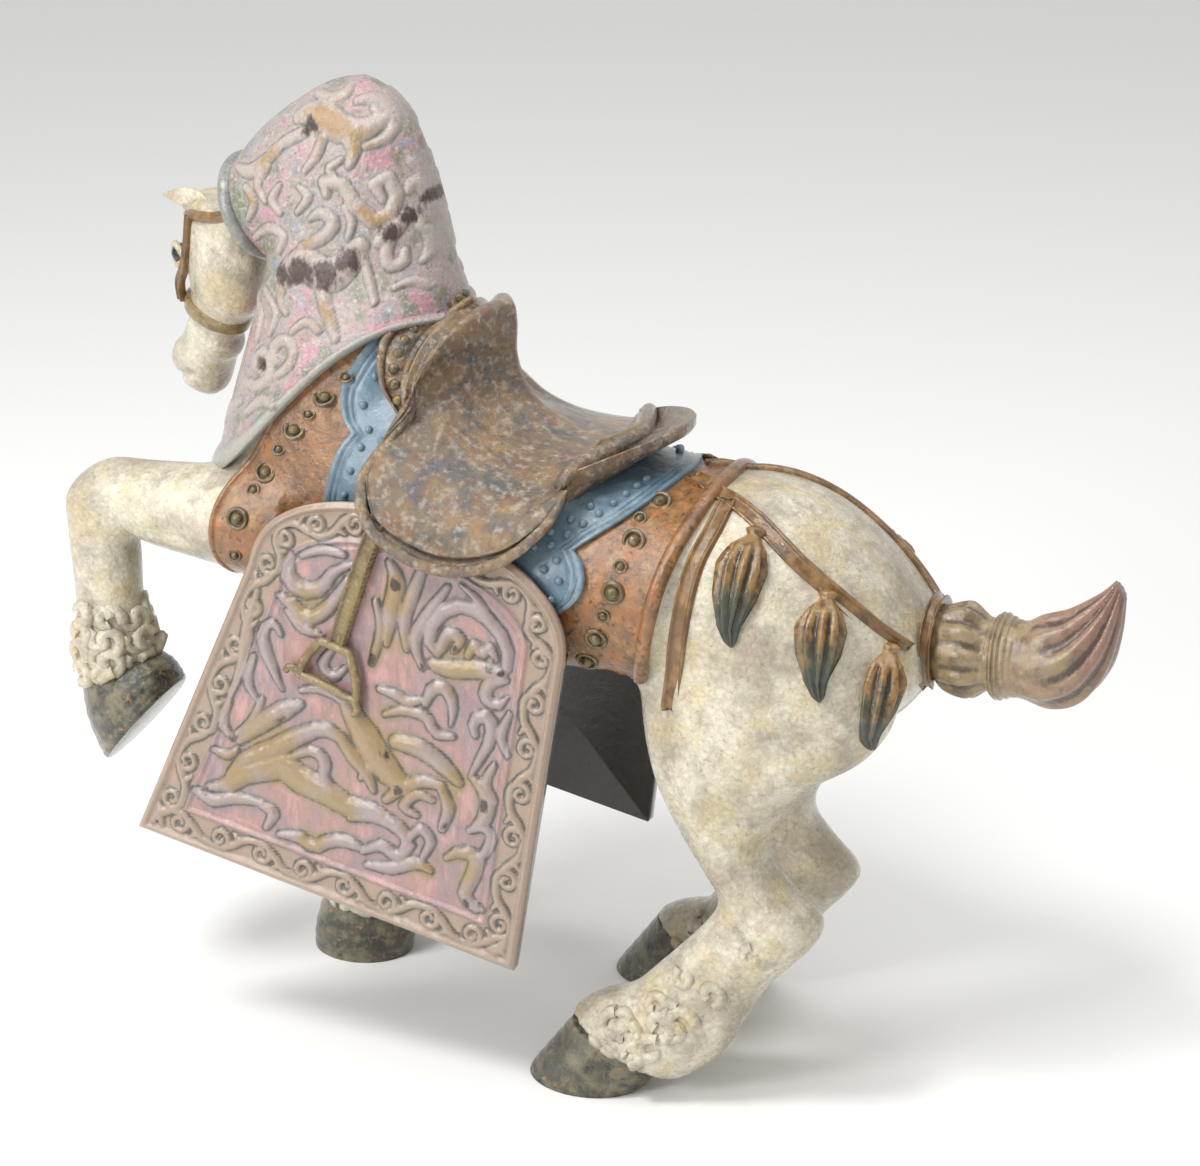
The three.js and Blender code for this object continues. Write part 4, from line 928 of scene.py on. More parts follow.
class HorseSizes(bpy.types.PropertyGroup):
    """Sizes of the applied work."""

    relief: size_setting("Relief", "Height of the carving on the flaps and the neck cover", 0.0024, 0.0005, 0.005)
    stud: size_setting("Stud", "Diameter of a large stud", 0.0105, 0.004, 0.016)
    strap: size_setting("Strap", "Width of the harness straps", 0.009, 0.004, 0.014)
    tassel: size_setting("Tassel", "Length of a tassel", 0.044, 0.02, 0.06)


def colour_setting(name, description, code):
    return bpy.props.FloatVectorProperty(
        name=name, description=description, subtype="COLOR", size=4, min=0.0, max=1.0, default=tone(code),
    )


class HorseGlazes(bpy.types.PropertyGroup):
    """Ground colours of the glazes."""

    cream: colour_setting("Cream", "Ground of the horse's coat", "#d8d0ba")
    rose: colour_setting("Rose", "Ground of the flaps", "#a67f78")
    hood: colour_setting("Hood", "Ground of the neck cover", "#a3938f")
    amber: colour_setting("Amber", "Ground of the blanket", "#875c2f")
    blue: colour_setting("Blue", "Ground of the scalloped cloths", "#5f7786")
    saddle: colour_setting("Saddle", "Ground of the saddle", "#6b573b")
    ochre: colour_setting("Honey", "Ground of the stirrups", "#86734a")
    strap: colour_setting("Strap", "Ground of the straps", "#74552c")


# Operators

class HORSE_OT_body(bpy.types.Operator):
    """Models the horse's body and legs in one skin."""

    bl_idname = "figurine.body"
    bl_label = "Body"

    def execute(self, context):
        # The trunk is drawn with its blanket; the body under it is a little smaller.
        bare = [(a, b - 3, c, d + 1.5, y, half - 2) for a, b, c, d, y, half in TRUNK]
        shells = [
            skin(form(bare, squareness=2.25)), skin(form(RUMP, squareness=2.1)), skin(form(HIND_LEFT)),
            skin(form(HIND_RIGHT)), skin(form(FORE_RAISED)), skin(form(FORE_STANDING)), skin(form(NECK_ROOT)),
        ]
        mesh = joined_clay("horse_body", shells, VOXEL)
        fettle(mesh, 4, 22)
        model_strokes(mesh, BODY_STROKES)
        fettle(mesh, 1, 0)
        body = finished("horse_body", mesh, glaze("cream"))
        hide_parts(NODE)
        Clay.add(skin_of(body.data))
        return {"FINISHED"}


# Soft strokes on the coat: muscle, tendon and joint.
BODY_STROKES = [
    ([(100, -62, 190), (84, -64, 165), (80, -62, 145)], 8, -1.6),
    ([(48, -66, 215), (50, -66, 190), (58, -64, 165)], 10, 1.6),
    ([(78, -60, 118), (84, -61, 104), (76, -62, 86), (62, -63, 68)], 4, -1.6),
    ([(95, -58, 105), (96, -60, 92), (86, -62, 74)], 5, 1.5),
    ([(100, 60, 190), (84, 62, 165), (78, 60, 140)], 8, -1.6),
    ([(66, 56, 104), (74, 56, 88), (66, 60, 68)], 4, -1.4),
    ([(-200, -62, 262), (-225, -60, 262), (-245, -58, 258)], 6, 1.2),
    ([(-195, -64, 244), (-222, -60, 243)], 4, -1.2),
    ([(-249, -58, 225), (-249, -57, 200), (-249, -57, 185)], 4, -1.3),
    ([(-262, -52, 252), (-250, -58, 250)], 8, 1.8),
    ([(-245, -56, 180), (-244, -57, 172)], 6, 1.2),
    ([(-150, 46, 120), (-148, 44, 95), (-148, 44, 60)], 4, -1.2),
]
# The same on the head, drawn straight ahead: cheek, jaw, nose bone, nostrils, mouth and chin.
HEAD_STROKES = [
    ([(0, -17, 362), (4, -17, 352), (-4, -16, 342)], 8, 1.6),
    ([(0, 17, 362), (4, 17, 352), (-4, 16, 342)], 8, 1.6),
    ([(-30, -13, 362)], 6, -1.6), ([(-30, 13, 362)], 6, -1.6),
    ([(-52, -9, 303)], 3.2, -2.2), ([(-52, 9, 303)], 3.2, -2.2),
    ([(-50, -8, 307), (-46, -12, 302)], 4, 1.5), ([(-50, 8, 307), (-46, 12, 302)], 4, 1.5),
    ([(-54, -6, 293), (-42, -12, 293), (-30, -12, 297)], 2.4, -2.2),
    ([(-54, 6, 293), (-42, 12, 293), (-30, 12, 297)], 2.4, -2.2),
]
# The chin, a form under the mouth.
CHIN = [
    (-21, 326, -21, 326, 0, 0.5), (-29, 322.5, -13, 322.5, 0, 9), (-32, 314.5, -10, 314.5, 0, 12.3),
    (-29, 306.5, -13, 306.5, 0, 9), (-21, 303, -21, 303, 0, 0.5),
]


class HORSE_OT_hooves(bpy.types.Operator):
    """Makes the hooves."""

    bl_idname = "figurine.hooves"
    bl_label = "Hooves"

    def execute(self, context):
        shells = []
        for table, shift in ((HIND_HOOF, -52), (HIND_HOOF, 58), (RAISED_HOOF, 0), (STANDING_HOOF, 0)):
            rings = form(table, 64, 12) + (0, shift, 0)
            growth = 1 + 0.006 * np.sin(np.arange(len(rings))[:, None, None] * 1.3)
            middle = rings.mean(1, keepdims=True)
            shells.append(skin(middle + (rings - middle) * growth))
        piece("hooves", shells, glaze("hoof"))
        return {"FINISHED"}


class HORSE_OT_head(bpy.types.Operator):
    """Makes the head with its ears, eyes and bridle."""

    bl_idname = "figurine.head"
    bl_label = "Head"

    def execute(self, context):
        shells = [skin(form(HEAD)), skin(form(CHIN, 40, 8))]
        skull = joined_clay("horse_head", [on_head(shell) for shell in shells], 1.2)
        fettle(skull, 3, 2)
        model_strokes(skull, [(head_turned(p), r, h) for p, r, h in HEAD_STROKES])
        fettle(skull, 1, 0)
        finished("horse_head", skull, glaze("cream"))
        ears, eyes, lids, bridle = [], [], [], []
        angle = np.linspace(0, 2 * np.pi, 24, endpoint=False)
        hollow = 3.0 * np.exp(-((angle - np.pi / 2) / 0.7) ** 2)
        leaf = np.stack([6.2 * np.cos(angle), 4.0 * np.sin(angle) - hollow], 1)
        share = np.interp(np.linspace(0, 1, 25), [0, 0.3, 0.7, 1], [0.9, 0.95, 0.6, 0.06])
        for side in (-1, 1):
            outward = (0, side, 0)
            path = smooth_line([
                (-13, 10 * side, 380), (-19, 13 * side, 385), (-27, 16 * side, 386), (-36, 19 * side, 385),
            ], 24)
            ears.append(on_head(sweep(path, np.tile(unit((-0.25, side * 0.75, 0.6)), (25, 1)), leaf, share)))
            ball = form([
                (-36.5, 357, -36.5, 357, 0, 0), (-35.5, 359.5, -35.5, 354.5, 0, 2.6), (-30, 362, -30, 352, 0, 5),
                (-24.5, 359.5, -24.5, 354.5, 0, 2.6), (-23.5, 357, -23.5, 357, 0, 0),
            ], 28, 6)
            eyes.append(on_head(skin(ball + (0, 13.6 * side, 0))))
            for lift in (5.2, -5.0):
                lid = smooth_line([
                    (-38, 13.5 * side, 357), (-30, 16.8 * side, 357 + lift), (-22, 16.2 * side, 356),
                ], 20)
                lids.append(on_head(sweep(lid, np.tile(outward, (21, 1)), round_section(1.6))))
            cheek = smooth_line([
                (-34, 13 * side, 333), (-31, 15.5 * side, 343), (-22, 17.6 * side, 353),
                (-17, 18 * side, 365), (-15, 17.4 * side, 379),
            ], 30)
            bridle.append(on_head(sweep(cheek, np.tile(outward, (31, 1)), strap_section(3.8, 1.6))))
        nose = form([
            (-38.5, 338.5, -1, 329, 0, 13.6), (-40, 337.5, -1.5, 328, 0, 14.9), (-40.6, 335, -2, 325, 0, 15.2),
            (-41, 332.5, -3, 322.5, 0, 14.9), (-40.5, 331.5, -3.5, 321, 0, 13.6),
        ], 64, 6)
        piece("noseband", [on_head(skin(nose))], glaze("ochre"))
        brow = [(-34, 379, 22, 386, 0, 16.2), (-35.4, 376, 20, 383, 0, 18.6), (-36, 373.5, 18, 380, 0, 16.4)]
        bridle.append(on_head(skin(form(brow, 64, 4))))
        piece("ears", ears, glaze("cream"))
        piece("eyes", eyes, glaze("ink"))
        piece("eyelids", lids, glaze("cream"))
        piece("bridle", bridle, glaze("strap"))
        return {"FINISHED"}


def spots(flat, places):
    """How near flat points are to round spots given as x, y, reach."""
    near = np.zeros(len(flat))
    for x, y, reach in places:
        near = np.maximum(near, np.exp(-(((flat - (x, y)) / reach) ** 2).sum(1)))
    return near


class HORSE_OT_neck_cover(bpy.types.Operator):
    """Makes the carved neck cover with its rolled edges."""

    bl_idname = "figurine.neck_cover"
    bl_label = "Neck cover"

    def execute(self, context):
        height = context.scene.horse_sizes.relief * 1000
        rings = form(NECK_COVER, 300, 24)
        outs = ring_normals(rings)
        flat = rings[..., (0, 2)].reshape(-1, 2)
        rise, outline, halo = raised(flat, [stroke(*rows) for rows in NECK_RELIEF])
        facing = np.clip(np.abs(outs[..., 1]) * 1.6 - 0.25, 0, 1).reshape(-1)
        rise, outline = rise * facing, outline * facing
        dark, ochre = spots(flat, NECK_DARK), spots(flat, NECK_OCHRE)
        rolled = np.zeros(len(rings))
        rolled[:12] = 2.0 * np.sin(np.linspace(0, np.pi, 12))
        hem = np.exp(-((np.arange(len(rings)) / 9.0) ** 4))[:, None] + np.zeros(rings.shape[1])
        shape = rings + outs * ((rise * height).reshape(rings.shape[:2]) + rolled[:, None])[..., None]
        points, faces = skin(shape)
        marks = {
            name: [*values, 0.0, 0.0] for name, values in (
                ("rise", np.maximum(rise, 0.3 * halo) * ochre), ("crest", rise), ("outline", outline),
                ("halo", halo), ("dark", dark * (0.2 + 0.8 * halo)), ("band", hem.ravel()),
            )
        }
        piece("neck_cover", [(points, faces)], glaze("hood"), marks)
        mouth = rings[-3]
        away = unit((mouth - mouth.mean(0))[::3])
        piece("hood_roll", [sweep(mouth[::3], away, round_section(3.5, 14), loop=True)], glaze("roll"))
        return {"FINISHED"}


def draped(edge, from_line, lift, along, across, cut=None):
    """A layer laid over the skins, from a line given as (x, degrees from the top) to an edge."""
    xs, degrees = np.array(from_line, float).T
    rings, marked = [], []
    for t in np.linspace(-1, 1, along + 1):
        end, angle = edge(t)
        begin = float(np.interp(abs(angle), degrees, xs))
        tops, lows = [], []
        for k in range(across + 1):
            p, n = settle(over_top(begin + (end - begin) * k / across, angle))
            depth = cut((across - k) / across * abs(end - begin)) if cut else 0.0
            tops.append(p + n * (lift - 0.9 * depth))
            lows.append(p - n * 2)
            marked.append(depth)
        rings.append(tops + lows[::-1])
        marked += [0.0] * (across + 1)
    return skin(rings), marked + [0.0, 0.0]


def edge_of(points):
    """An edge of cloth: x and degrees from the top for a share from -1 to 1. A point given twice
    is a cusp."""
    runs = [[points[0]]]
    for a, b in zip(points[:-1], points[1:]):
        if a == b:
            runs.append([])
        runs[-1].append(b)
    dense = np.concatenate([smooth_line(run, 8 * (len(run) - 1)) for run in runs])
    length = np.concatenate([[0], np.cumsum(np.linalg.norm(np.diff(dense, axis=0), axis=1))])
    length /= length[-1]
    return lambda t: (
        float(np.interp(abs(t), length, dense[:, 0])),
        math.copysign(float(np.interp(abs(t), length, dense[:, 1])), t),
    )


BLANKET_FRONT = [(-120, 0), (-150, 40), (-168, 60), (-175, 80), (-175, 96), (-170, 108), (-158, 128)]
BLANKET_REAR = [(51, 0), (47, 50), (38, 90), (28, 128)]


class HORSE_OT_blanket(bpy.types.Operator):
    """Lays the amber blanket with its rolled rear edge."""

    bl_idname = "figurine.blanket"
    bl_label = "Blanket"

    def execute(self, context):
        front, rear = edge_of(BLANKET_FRONT), edge_of(BLANKET_REAR)
        shell, _ = draped(rear, BLANKET_FRONT, 1.9, 170, 90)
        piece("blanket", [shell], glaze("amber"))
        rolls = []
        for edge, radius in ((rear, 3.6), (front, 1.7)):
            places, outs = settled([over_top(*edge(t)) for t in np.linspace(-1, 1, 141)])
            places = smooth_line(places[::4], 140) + outs * 0.8
            rolls.append(sweep(places, outs, round_section(radius, 14)))
        piece("blanket_rolls", rolls, glaze("amber"))
        Clay.add(shell)
        return {"FINISHED"}


FRONT_CLOTH = (
    [(-84, 0), (-84, 30), (-90, 60), (-90, 80), (-90, 100), (-90, 118)],
    [(-90, 0), (-96, 12), (-104, 20), (-112, 28), (-116, 34), (-114, 40), (-109, 44), (-109, 44), (-115, 50),
     (-119, 60), (-121, 70), (-119, 76), (-119, 76), (-123, 84), (-124, 94), (-122, 104), (-118, 112)],
)
REAR_CLOTH = (
    [(-10, 0), (-14, 30), (-26, 60), (-40, 80), (-46, 100)],
    [(34, 0), (31, 20), (27, 36), (22, 48), (16, 57), (8, 65), (0, 72), (0, 72), (5, 77), (7, 84), (4, 91),
     (-3, 96), (-10, 99)],
)


def hem_lines(inset):
    """Two lines incised inside the edge of a cloth."""
    return math.exp(-(((inset - 3.4) / 0.7) ** 2)) + 0.8 * math.exp(-(((inset - 6.2) / 0.7) ** 2))


class HORSE_OT_cloths(bpy.types.Operator):
    """Lays the scalloped blue cloths before and behind the saddle."""

    bl_idname = "figurine.cloths"
    bl_label = "Blue cloths"

    def execute(self, context):
        for name, edges in (("front_cloth", FRONT_CLOTH), ("rear_cloth", REAR_CLOTH)):
            shell, lines = draped(edge_of(edges[1]), edges[0], 2.6, 240, 44, hem_lines)
            piece(name, [shell], glaze("blue"), {"line": lines})
            Clay.add(shell)
        return {"FINISHED"}


def on_saddle(at, share):
    """A point of the saddle for a station and a share across it, from -1 to 1."""
    table = np.asarray(SADDLE, float)
    last = len(table) - 1
    i = min(int(at), last - 1)
    rx, rz, ex, ey, ez, square = catmull(*[table[min(max(i + k, 0), last)] for k in (-1, 0, 1, 2)], at - i)
    angle = abs(share) * np.pi / 2
    power = 2 / square
    fall = 1 - math.cos(angle) ** power if angle < np.pi / 2 else 1.0
    y = math.copysign(ey * math.sin(angle) ** power, share)
    return np.array([rx + (ex - rx) * math.sin(angle), y, rz + (ez - rz) * fall])


class HORSE_OT_saddle(bpy.types.Operator):
    """Makes the saddle with its pommel, skirts and cantle."""

    bl_idname = "figurine.saddle"
    bl_label = "Saddle"

    def execute(self, context):
        shares = np.concatenate([
            np.linspace(-1, -0.82, 26), np.linspace(-0.81, 0.81, 90), np.linspace(0.82, 1, 26),
        ])
        stations = np.linspace(0, 12, 145)
        rings = np.array([[on_saddle(at, v) for v in shares] for at in stations])
        needed, ways = np.zeros(rings.shape[:2]), np.zeros(rings.shape)
        for i, j in np.ndindex(rings.shape[:2]):
            if abs(shares[j]) > 0.25:
                under, ways[i, j] = settle(rings[i, j])
                needed[i, j] = max(0.0, 2.6 - (rings[i, j] - under) @ ways[i, j])
        spread = needed
        for _ in range(120):
            wide = np.pad(spread, 1, "edge")
            mean = (wide[:-2, 1:-1] + wide[2:, 1:-1] + wide[1:-1, :-2] + wide[1:-1, 2:]) / 4
            spread = np.maximum(needed, mean)
        rings += ways * spread[..., None]
        outs = unit(np.cross(np.gradient(rings, axis=1), np.gradient(rings, axis=0)))
        outs *= np.where(outs[..., 2].mean() < 0, -1, 1)
        apart = np.abs(shares)
        bead = 0.6 * np.exp(-(((apart - 0.965) / 0.03) ** 4)) + 0.4 * np.exp(-(((apart - 0.885) / 0.012) ** 2))
        groove = np.exp(-(((apart - 0.912) / 0.014) ** 2))
        on_skirt = np.interp(stations, [1.2, 3, 10, 12], [0, 1, 1, 0.6])[:, None]
        skirt = on_skirt * bead[None]
        front = np.exp(-((stations - 0.4) / 0.28) ** 2)[:, None]
        back = np.exp(-((stations - 11.4) / 0.4) ** 2)[:, None] * 1.3
        rise = np.maximum(np.maximum(skirt, front), back)
        sunk = on_skirt * groove[None]
        tops = rings + outs * (3.2 * rise - 1.0 * sunk)[..., None]
        inner = [(tops[:, j] * (1, 0.55, 1) + (0, 0, 1))[:, None] for j in (-1, 0)]
        points, faces = skin(np.concatenate([tops, *inner], 1))
        marks = {
            name: [*np.pad(what, ((0, 0), (0, 2))).ravel(), 0.0, 0.0]
            for name, what in (("rise", rise), ("groove", sunk))
        }
        piece("saddle", [(points, faces)], glaze("saddle"), marks)
        rims = []
        for side in (-1, 1):
            j = int(np.argmin(np.abs(shares - 0.962 * side)))
            line, ways = (smooth_line(grid[28:134, j][::5], 140) for grid in (tops, outs))
            ends = np.sin(np.linspace(0.25, np.pi - 0.25, 141)) ** 0.3
            rims.append(sweep(line, ways, round_section(2.8, 16), ends))
        half_risen = np.full(sum(len(rim[0]) for rim in rims), 0.45)
        piece("skirt_rims", rims, glaze("saddle"), {"rise": half_risen})

        board = []
        for t in np.linspace(-1, 1, 80):
            rise = 1 - t * t
            root = np.array([2 - 14 * t * t, 52 * t, 282 + 11 * rise])
            tip = np.array([31 - 41 * t * t, 52 * t, 291 + 16 * rise**0.8])
            up = unit(np.array([0, 0.35 * t, 1.0]))
            mid = (root + tip) / 2 + (0, 0, -2)
            rim = tip + (tip - root) * 0.04
            board.append([root + up * 5, mid + up * 4.5, tip + up * 2.8, rim + up * 1.6, rim - up * 2.0,
                          tip - up * 3.2, mid - up * 3, root - up * 9])
        ridge = np.array([on_saddle(11.5, v) for v in np.linspace(-0.9, 0.9, 81)]) + (0, 0, -1.6)
        ends = np.sin(np.linspace(0.35, np.pi - 0.35, 81)) ** 0.5
        roll = sweep(ridge, np.tile((0.1, 0, 1.0), (81, 1)), round_section(4.6, 16), ends)
        piece("cantle_board", [skin(board), roll], glaze("saddle"))
        return {"FINISHED"}


CRESCENT_OUTER = [
    (-84.8, -54, 313), (-95, -50, 326), (-97.5, -42, 342), (-92.5, -26, 352), (-84.5, -8, 356), (-82, 0, 357),
]
CRESCENT_INNER = [
    (-82.8, -52.5, 316), (-85, -48, 326.5), (-85.5, -38, 336), (-82.5, -24, 344.5), (-76, -6, 352),
    (-74.5, 0, 353),
]


class HORSE_OT_crescent(bpy.types.Operator):
    """Adds the beaded crescent before the pommel."""

    bl_idname = "figurine.crescent"
    bl_label = "Beaded crescent"

    def execute(self, context):
        def whole(points):
            line = smooth_line(points, 40)
            return np.concatenate([line, (line * (1, -1, 1))[::-1][1:]])

        outer, inner = whole(CRESCENT_OUTER), whole(CRESCENT_INNER)
        face = np.array([-0.86, 0, 0.5])  # The way the crescent looks.
        rings = [
            [o + face * 1.6, (o + i) / 2 + face * 0.6, i + face * 1.6, i - face * 5, o - face * 5]
            for o, i in zip(outer, inner)
        ]
        faced = np.tile(face, (len(outer), 1))
        rims = [sweep(line + face * 1.4, faced, round_section(2.1)) for line in (outer, inner)]
        piece("crescent", [skin(rings), *rims], glaze("saddle"))
        middle = even_line(((outer + inner) / 2)[4:-4][::8], 19)
        repeated("crescent_beads", middle + face * 1.2, np.tile(face, (20, 1)), np.ones(20), bead_tree(),
                 {"Diameter": 0.0052}, glaze("stud"))
        return {"FINISHED"}


# Flaps, drawn flat: x along the lower edge towards the tail, y up the flap.

def flap_place(flat, lift=0.0):
    """Points of the near flap for flat points, raised by lift."""
    ct, st = math.cos(FLAP_TILT), math.sin(FLAP_TILT)
    cf, sf = math.cos(FLAP_FLARE), math.sin(FLAP_FLARE)
    across, up = np.array([ct, 0, -st]), np.array([st * cf, sf, ct * cf])
    out = np.array([st * sf, -cf, ct * sf])
    flat = np.asarray(flat, float)
    lift = np.asarray(lift, float)
    return FLAP_ORIGIN + flat[..., :1] * across + flat[..., 1:2] * up + lift[..., None] * out


def flap_sides(v, shoulder_share=0.6):
    """Left and right ends of a row of the flap, for a share from the lower edge to the crown."""
    if v < shoulder_share:
        y = FLAP_SHOULDER * v / shoulder_share
        return (31 * y / FLAP_SHOULDER, y), (FLAP_WIDTH - 9 * y / FLAP_SHOULDER, y)
    angle = (v - shoulder_share) / (1 - shoulder_share) * np.pi / 2
    middle, half = (31 + FLAP_WIDTH - 9) / 2, (FLAP_WIDTH - 9 - 31) / 2
    y = FLAP_SHOULDER + (FLAP_HEIGHT - FLAP_SHOULDER) * math.sin(angle) ** 0.85
    return (middle - half * math.cos(angle), y), (middle + half * math.cos(angle), y)


def flap_edge():
    """The outline of the flap, round from its lower front corner."""
    sides = [flap_sides(v) for v in np.linspace(0, 1, 70)]
    return np.array([left for left, _ in sides][::-1] + [right for _, right in sides])


def edge_gap(flat, edge):
    gap = np.full(len(flat), 1e9)
    for a, b in zip(edge, np.roll(edge, -1, 0)):
        run = b - a
        t = np.clip((flat - a) @ run / max(run @ run, 1e-9), 0, 1)
        gap = np.minimum(gap, np.linalg.norm(flat - a - t[:, None] * run, axis=1))
    return gap


def border_scrolls(edge):
    """A running scroll round the border, half way between its rims."""
    closed = np.concatenate([edge, edge[:1]])
    run = np.concatenate([[0], np.cumsum(np.linalg.norm(np.diff(closed, axis=0), axis=1))])
    count = int(run[-1] / SCROLL_PITCH) // 2 * 2
    pitch = run[-1] / count
    t = np.linspace(0, 1, 18)
    angle, r = np.pi * (-0.5 + 2.5 * t), 5.4 * (1 - 0.72 * t)
    coil = np.column_stack([r * np.cos(angle), r * np.sin(angle), 1.55 - 0.5 * t])
    wave = stroke(
        [(-pitch * 0.92, 4.8), (-pitch * 0.7, 1.5), (-pitch * 0.4, -3.9), (0, -5.4)], [0.9, 1.9, 1.8, 1.55], 8,
    )
    leaf = stroke([(pitch * 0.3, 4.9), (pitch * 0.46, 2.2), (pitch * 0.36, 0)], [0.8, 1.8, 0.8], 6)

    def round_border(at):
        return np.stack([np.interp(at, run, closed[:, i]) for i in (0, 1)], 1)

    strokes = []
    for k in range(count):
        for rows in (coil, wave, leaf):
            at = np.mod((k + 0.5) * pitch + rows[:, 0], run[-1])
            v = BORDER_MIDDLE + rows[:, 1] * (1 if k % 2 else -1)
            here = round_border(at)
            way = unit(round_border(np.minimum(at + 2, run[-1])) - round_border(np.maximum(at - 2, 0)))
            inward = np.stack([-way[:, 1], way[:, 0]], 1)
            inward *= np.sign(((FLAP_CENTRE - here) * inward).sum(1))[:, None]
            strokes.append(np.column_stack([here + inward * v[:, None], rows[:, 2]]))
    return strokes


def flap(near, height):
    """One flap with its rims and carving; the far one is plainer and coarser."""
    columns, rows = (230, 250) if near else (120, 130)
    ends = np.array([flap_sides(v) for v in np.linspace(0, 1, rows + 1)])
    t = np.linspace(0, 1, columns + 1)[None, :, None]
    flat = (ends[:, :1] * (1 - t) + ends[:, 1:] * t).reshape(-1, 2)
    edge = flap_edge()
    gap = edge_gap(flat, edge)
    if near:
        field = [stroke(*rows) for rows in FLAP_RELIEF]
    else:
        field = moved(BEAST, 98, 92, 40, -4, -1) + moved(BEAST, 94, 46, 40, -3, -1)
        field += moved(CLOUD, 70, 142, 22, 20) + moved(CLOUD, 136, 140, 22, -20, -1)
    rise, outline, halo = raised(flat, border_scrolls(edge) + field)
    inside = np.clip((gap - 4) / 1.5, 0, 1)
    rise, outline = rise * inside, outline * inside
    rims = 1.9 * np.exp(-(((gap - 2.2) / 1.5) ** 2)) + 1.5 * np.exp(-(((gap - FLAP_BORDER) / 1.1) ** 2))
    rims += 0.5 * np.exp(-(((gap - FLAP_BORDER - 3.6) / 0.9) ** 2)) * (rise < 0.2)
    clear = 1 - np.exp(-(((gap - FLAP_BORDER) / 2.0) ** 2))
    x, y = flat.T
    swell = 0.35 * (np.sin(x / 6.1 + np.sin(y / 9)) * np.sin(y / 7.3 + 1.3)) * inside
    lift = rims + swell + rise * clear * height
    front = flap_place(flat, lift)
    n = columns + 1
    faces = [
        (r * n + c, r * n + c + 1, (r + 1) * n + c + 1, (r + 1) * n + c)
        for r in range(rows) for c in range(columns)
    ]
    loop = [*range(n), *[r * n + columns for r in range(1, rows + 1)], *[r * n for r in range(rows - 1, 0, -1)]]
    drawn_in = flat[loop] + (FLAP_CENTRE - flat[loop]) * 0.004
    back = flap_place(drawn_in, np.full(len(loop), -FLAP_THICKNESS))
    start = len(front)
    points = np.concatenate([front, back, back.mean(0)[None]])
    for k in range(len(loop)):
        m = (k + 1) % len(loop)
        faces.append((loop[k], loop[m], start + m, start + k))
        faces.append((start + k, start + m, start + len(loop)))
    dark, ochre = spots(flat, FLAP_DARK), spots(flat, FLAP_OCHRE)
    band = 1 / (1 + np.exp((gap - FLAP_BORDER + 1) / 0.8))
    marks = {
        # The hollow mark is painted shade: 0 on the carved face, 1 on the back and its hub, which face the body.
        name: [*values, *[end] * (len(back) + 1)] for name, values, end in (
            ("rise", halo * ochre, 0.0), ("crest", rise, 0.0), ("outline", outline, 0.0), ("halo", halo, 0.0),
            ("dark", dark * (0.25 + 0.75 * rise), 0.0), ("hollow", np.zeros(start), 1.0), ("band", band, 0.0),
        )
    }
    return (points, faces), marks


class HORSE_OT_flaps(bpy.types.Operator):
    """Makes the arched flaps with their carving."""

    bl_idname = "figurine.flaps"
    bl_label = "Flaps"

    def execute(self, context):
        height = context.scene.horse_sizes.relief * 1000
        shell, marks = flap(True, height)
        piece("near_flap", [shell], glaze("rose"), marks)
        Clay.add(shell)
        shell, marks = flap(False, height)
        piece("far_flap", [mirrored(shell)], glaze("rose"), marks)
        Clay.add(mirrored(shell))
        # What the flaps rest on: a bed between each of them and the blanket.
        shape = [(50, 118), (172, 118), (168, 150), (150, 172), (108, 184), (66, 172), (50, 150)]
        ring = even_line(shape + shape[:1], 80)[:-1]
        shell = skin([flap_place(ring, np.full(len(ring), -lift)) for lift in (2.0, 14.0, 26.0)])
        piece("flap_beds", [shell, mirrored(shell)], glaze("amber"))
        return {"FINISHED"}


class HORSE_OT_stirrups(bpy.types.Operator):
    """Hangs the stirrups and their leathers on the flaps."""

    bl_idname = "figurine.stirrups"
    bl_label = "Stirrups"

    def execute(self, context):
        shells = []
        line = even_line([(90, 190), (86, 165), (83, 138), (81.5, 124)], 160)
        places = flap_place(line, np.full(len(line), 2.6))
        out = flap_place([[0, 0]], [1.0])[0] - flap_place([[0, 0]], [0.0])[0]
        outs = np.tile(out, (len(line), 1))
        notch = 1 + 0.05 * np.sin(np.arange(len(line)) * np.pi / 3)
        shells.append(sweep(places, outs, strap_section(8.6, 3.2, 4.0), notch))
        corners = [
            (67, 105), (68, 112), (73, 122), (75, 124), (88, 123), (90, 121), (95, 110), (95, 102), (81, 104),
        ]
        bow = flap_place(even_line(corners + corners[:1], 90)[:-1], np.full(90, 3.8))
        bar = round_section(2.1, 12)
        shells.append(sweep(bow, np.tile(out, (90, 1)), bar, loop=True))
        for foot in ([(67, 106), (62, 107), (60, 104)], [(95, 103), (98, 98), (96, 95)]):
            places = flap_place(even_line(foot, 10), np.full(11, 3.8))
            shells.append(sweep(places, np.tile(out, (11, 1)), bar, np.linspace(1, 0.8, 11)))
        piece("stirrups", shells + [mirrored(shell) for shell in shells], glaze("ochre"))
        return {"FINISHED"}


